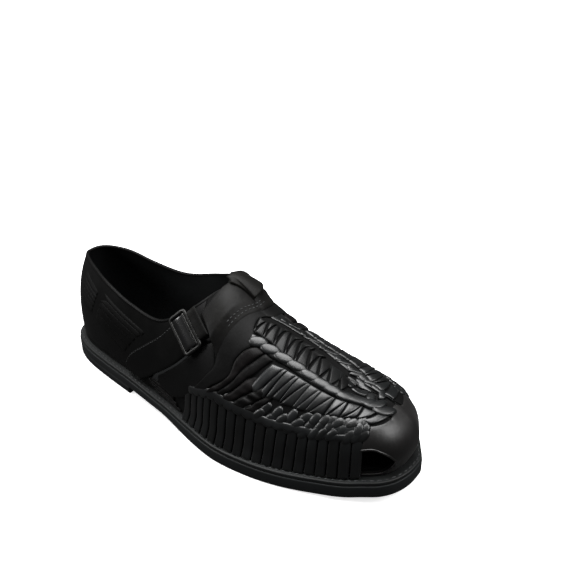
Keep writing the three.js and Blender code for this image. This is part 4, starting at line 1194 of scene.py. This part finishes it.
FRAME_HALF_X, FRAME_HALF_Y, FRAME_CORNER, WIRE_WIDE, WIRE_HIGH = 8.0, 14.5, 2.2, 1.3, 1.1
frame_line = round_frame(FRAME_HALF_X - WIRE_WIDE, FRAME_HALF_Y - WIRE_WIDE, FRAME_CORNER)
tangent = unit(np.roll(frame_line, -1, axis=0) - np.roll(frame_line, 1, axis=0))
turn = np.linspace(0, 2 * np.pi, 12, endpoint=False)
wide = np.sign(np.cos(turn)) * np.abs(np.cos(turn))**0.6 * WIRE_WIDE
high = WIRE_HIGH + np.sign(np.sin(turn)) * np.abs(np.sin(turn))**0.6 * WIRE_HIGH
x = frame_line[:, None, 0] + tangent[:, None, 1] * wide
y = frame_line[:, None, 1] - tangent[:, None, 0] * wide
weld(new_piece("buckle_frame", on_buckle(x, y, np.broadcast_to(high, x.shape)),
               grid_faces(len(frame_line), 12, loop_u=True, loop_v=True), steel, "buckle"), 1e-6)


def bar(name, x, half, z, radius):
    """Steel bar across the frame, at a place along it and a height."""
    y = np.linspace(-half, half, 24)
    return tube(name, on_buckle(np.full(24, x), y, np.full(24, z)), np.tile(buckle_out, (24, 1)), radius, steel)


bar("buckle_slide_bar", x=4.6, half=12.4, z=1.2, radius=1.0)


# %% [markdown]
# ## Leather in the buckle
# The strap folds over the bar, and its end lies past the frame. Both are pads like the others, only on the buckle's
# plane instead of the form.

# %% The strap's fold and end
def buckle_pad(name, x_from, x_to, half, low, high, material, power, swell=0.0):
    """Leather in or beside the frame: a closed pad on the buckle's own plane, with a swell across its middle."""
    nu, nv = 26, 30
    u, v = even(nu)[:, None], even(nv)[None, :]
    x, y = x_from + (x_to - x_from) * u + 0 * v, (2 * v - 1) * half + 0 * u
    off = rounded(u, power[0]) * rounded(v, power[1])
    middle, thick = (low + high) / 2, (high - low) / 2
    bend = swell * np.sin(np.pi * u) + 0 * v
    grids = [on_buckle(x, y, middle + bend + side * thick * off) for side in (1, -1)]
    faces = np.concatenate([grid_faces(nu, nv), grid_faces(nu, nv, start=nu * nv)[:, ::-1]])
    return weld(new_piece(name, np.stack(grids), faces, material), 1e-6)


# name, from and to along the strap, half width, low, high, material, power of the round edges
buckle_pad("strap_fold_in_buckle", -5.6, 4.4, 11.4, 0.3, 1.9, calf_glossy, (8, 14), swell=0.9)
buckle_pad("strap_end", 7.4, 15.5, 10.6, 0.5, 2.3, calf_soft, (8, 12), swell=-0.3)
print("buckle centre", np.round(buckle_centre, 1))

# %% [markdown]
# ## Camera, light and floor
# The camera was fitted to the photograph: its direction, its place and its focal length in pixels. The light is that
# of a product shot, with one large soft box above and a smaller one at each end. The white paper glows a little, so
# that it stays white like the photograph's ground, and mirrors in nothing.

# %% Stage, light and camera
AZIMUTH, ELEVATION, ROLL = math.radians(128.30), math.radians(30.08), math.radians(-0.47)
FOCAL, IMAGE_SIZE, SENSOR = 802.74, 580, 36.0
EYE = np.array([330.3, 317.8, 356.6]) * MM
back = np.array([math.sin(AZIMUTH) * math.cos(ELEVATION), -math.cos(AZIMUTH) * math.cos(ELEVATION),
                 math.sin(ELEVATION)])
side = np.array([math.cos(AZIMUTH), math.sin(AZIMUTH), 0.0])
rise = np.cross(back, side)
side, rise = math.cos(ROLL) * side + math.sin(ROLL) * rise, -math.sin(ROLL) * side + math.cos(ROLL) * rise
camera = bpy.data.objects.new("camera", bpy.data.cameras.new("camera"))
bpy.context.scene.collection.objects.link(camera)
camera.data.sensor_width = SENSOR
camera.data.lens = FOCAL / IMAGE_SIZE * SENSOR
camera.data.clip_start, camera.data.clip_end = 0.01, 20
axes = np.vstack([np.column_stack([side, rise, back, EYE]), [0, 0, 0, 1]])
camera.matrix_world = Matrix(axes.tolist())
bpy.context.scene.camera = camera


def lamp(name, place, target, size, power):
    """Square soft box that looks from place to target; its size in metres sets how soft the shadows are."""
    light = bpy.data.objects.new(name, bpy.data.lights.new(name, "AREA"))
    light.data.shape, light.data.size, light.data.energy = "SQUARE", size, power
    bpy.context.scene.collection.objects.link(light)
    light.location = place
    light.rotation_euler = (Vector(target) - Vector(place)).to_track_quat("-Z", "Y").to_euler()


# name, place, target, size in metres, power in watts
lamp("top_softbox", (-0.05, -0.20, 1.25), (0, 0, 0.04), 1.0, 29)
lamp("heel_softbox", (0.95, -1.05, 0.75), (0, -0.1, 0.04), 0.5, 8)
lamp("toe_softbox", (-0.25, 1.0, 1.15), (0, 0.1, 0.04), 0.8, 14)
world = bpy.data.worlds.new("studio")
bpy.context.scene.world = world
world.use_nodes = True
ambient = world.node_tree.nodes["Background"].inputs
ambient["Color"].default_value, ambient["Strength"].default_value = (1, 1, 1, 1), 0.06
floor_mesh = bpy.data.meshes.new("floor")
floor_mesh.from_pydata([(-4, -4, 0), (4, -4, 0), (4, 4, 0), (-4, 4, 0)], [], [(0, 1, 2, 3)])
floor = bpy.data.objects.new("floor", floor_mesh)
bpy.context.scene.collection.objects.link(floor)
paper = start_material("white_studio_paper")
for key, value in (("Base Color", srgb("f4f4f4")), ("Roughness", 0.9), ("Emission Color", (1, 1, 1, 1)),
                   ("Emission Strength", 0.75)):
    paper[2].inputs[key].default_value = value
floor_mesh.materials.append(paper[0])
floor.visible_glossy = floor.visible_diffuse = False
bpy.context.scene.view_settings.view_transform = "Standard"
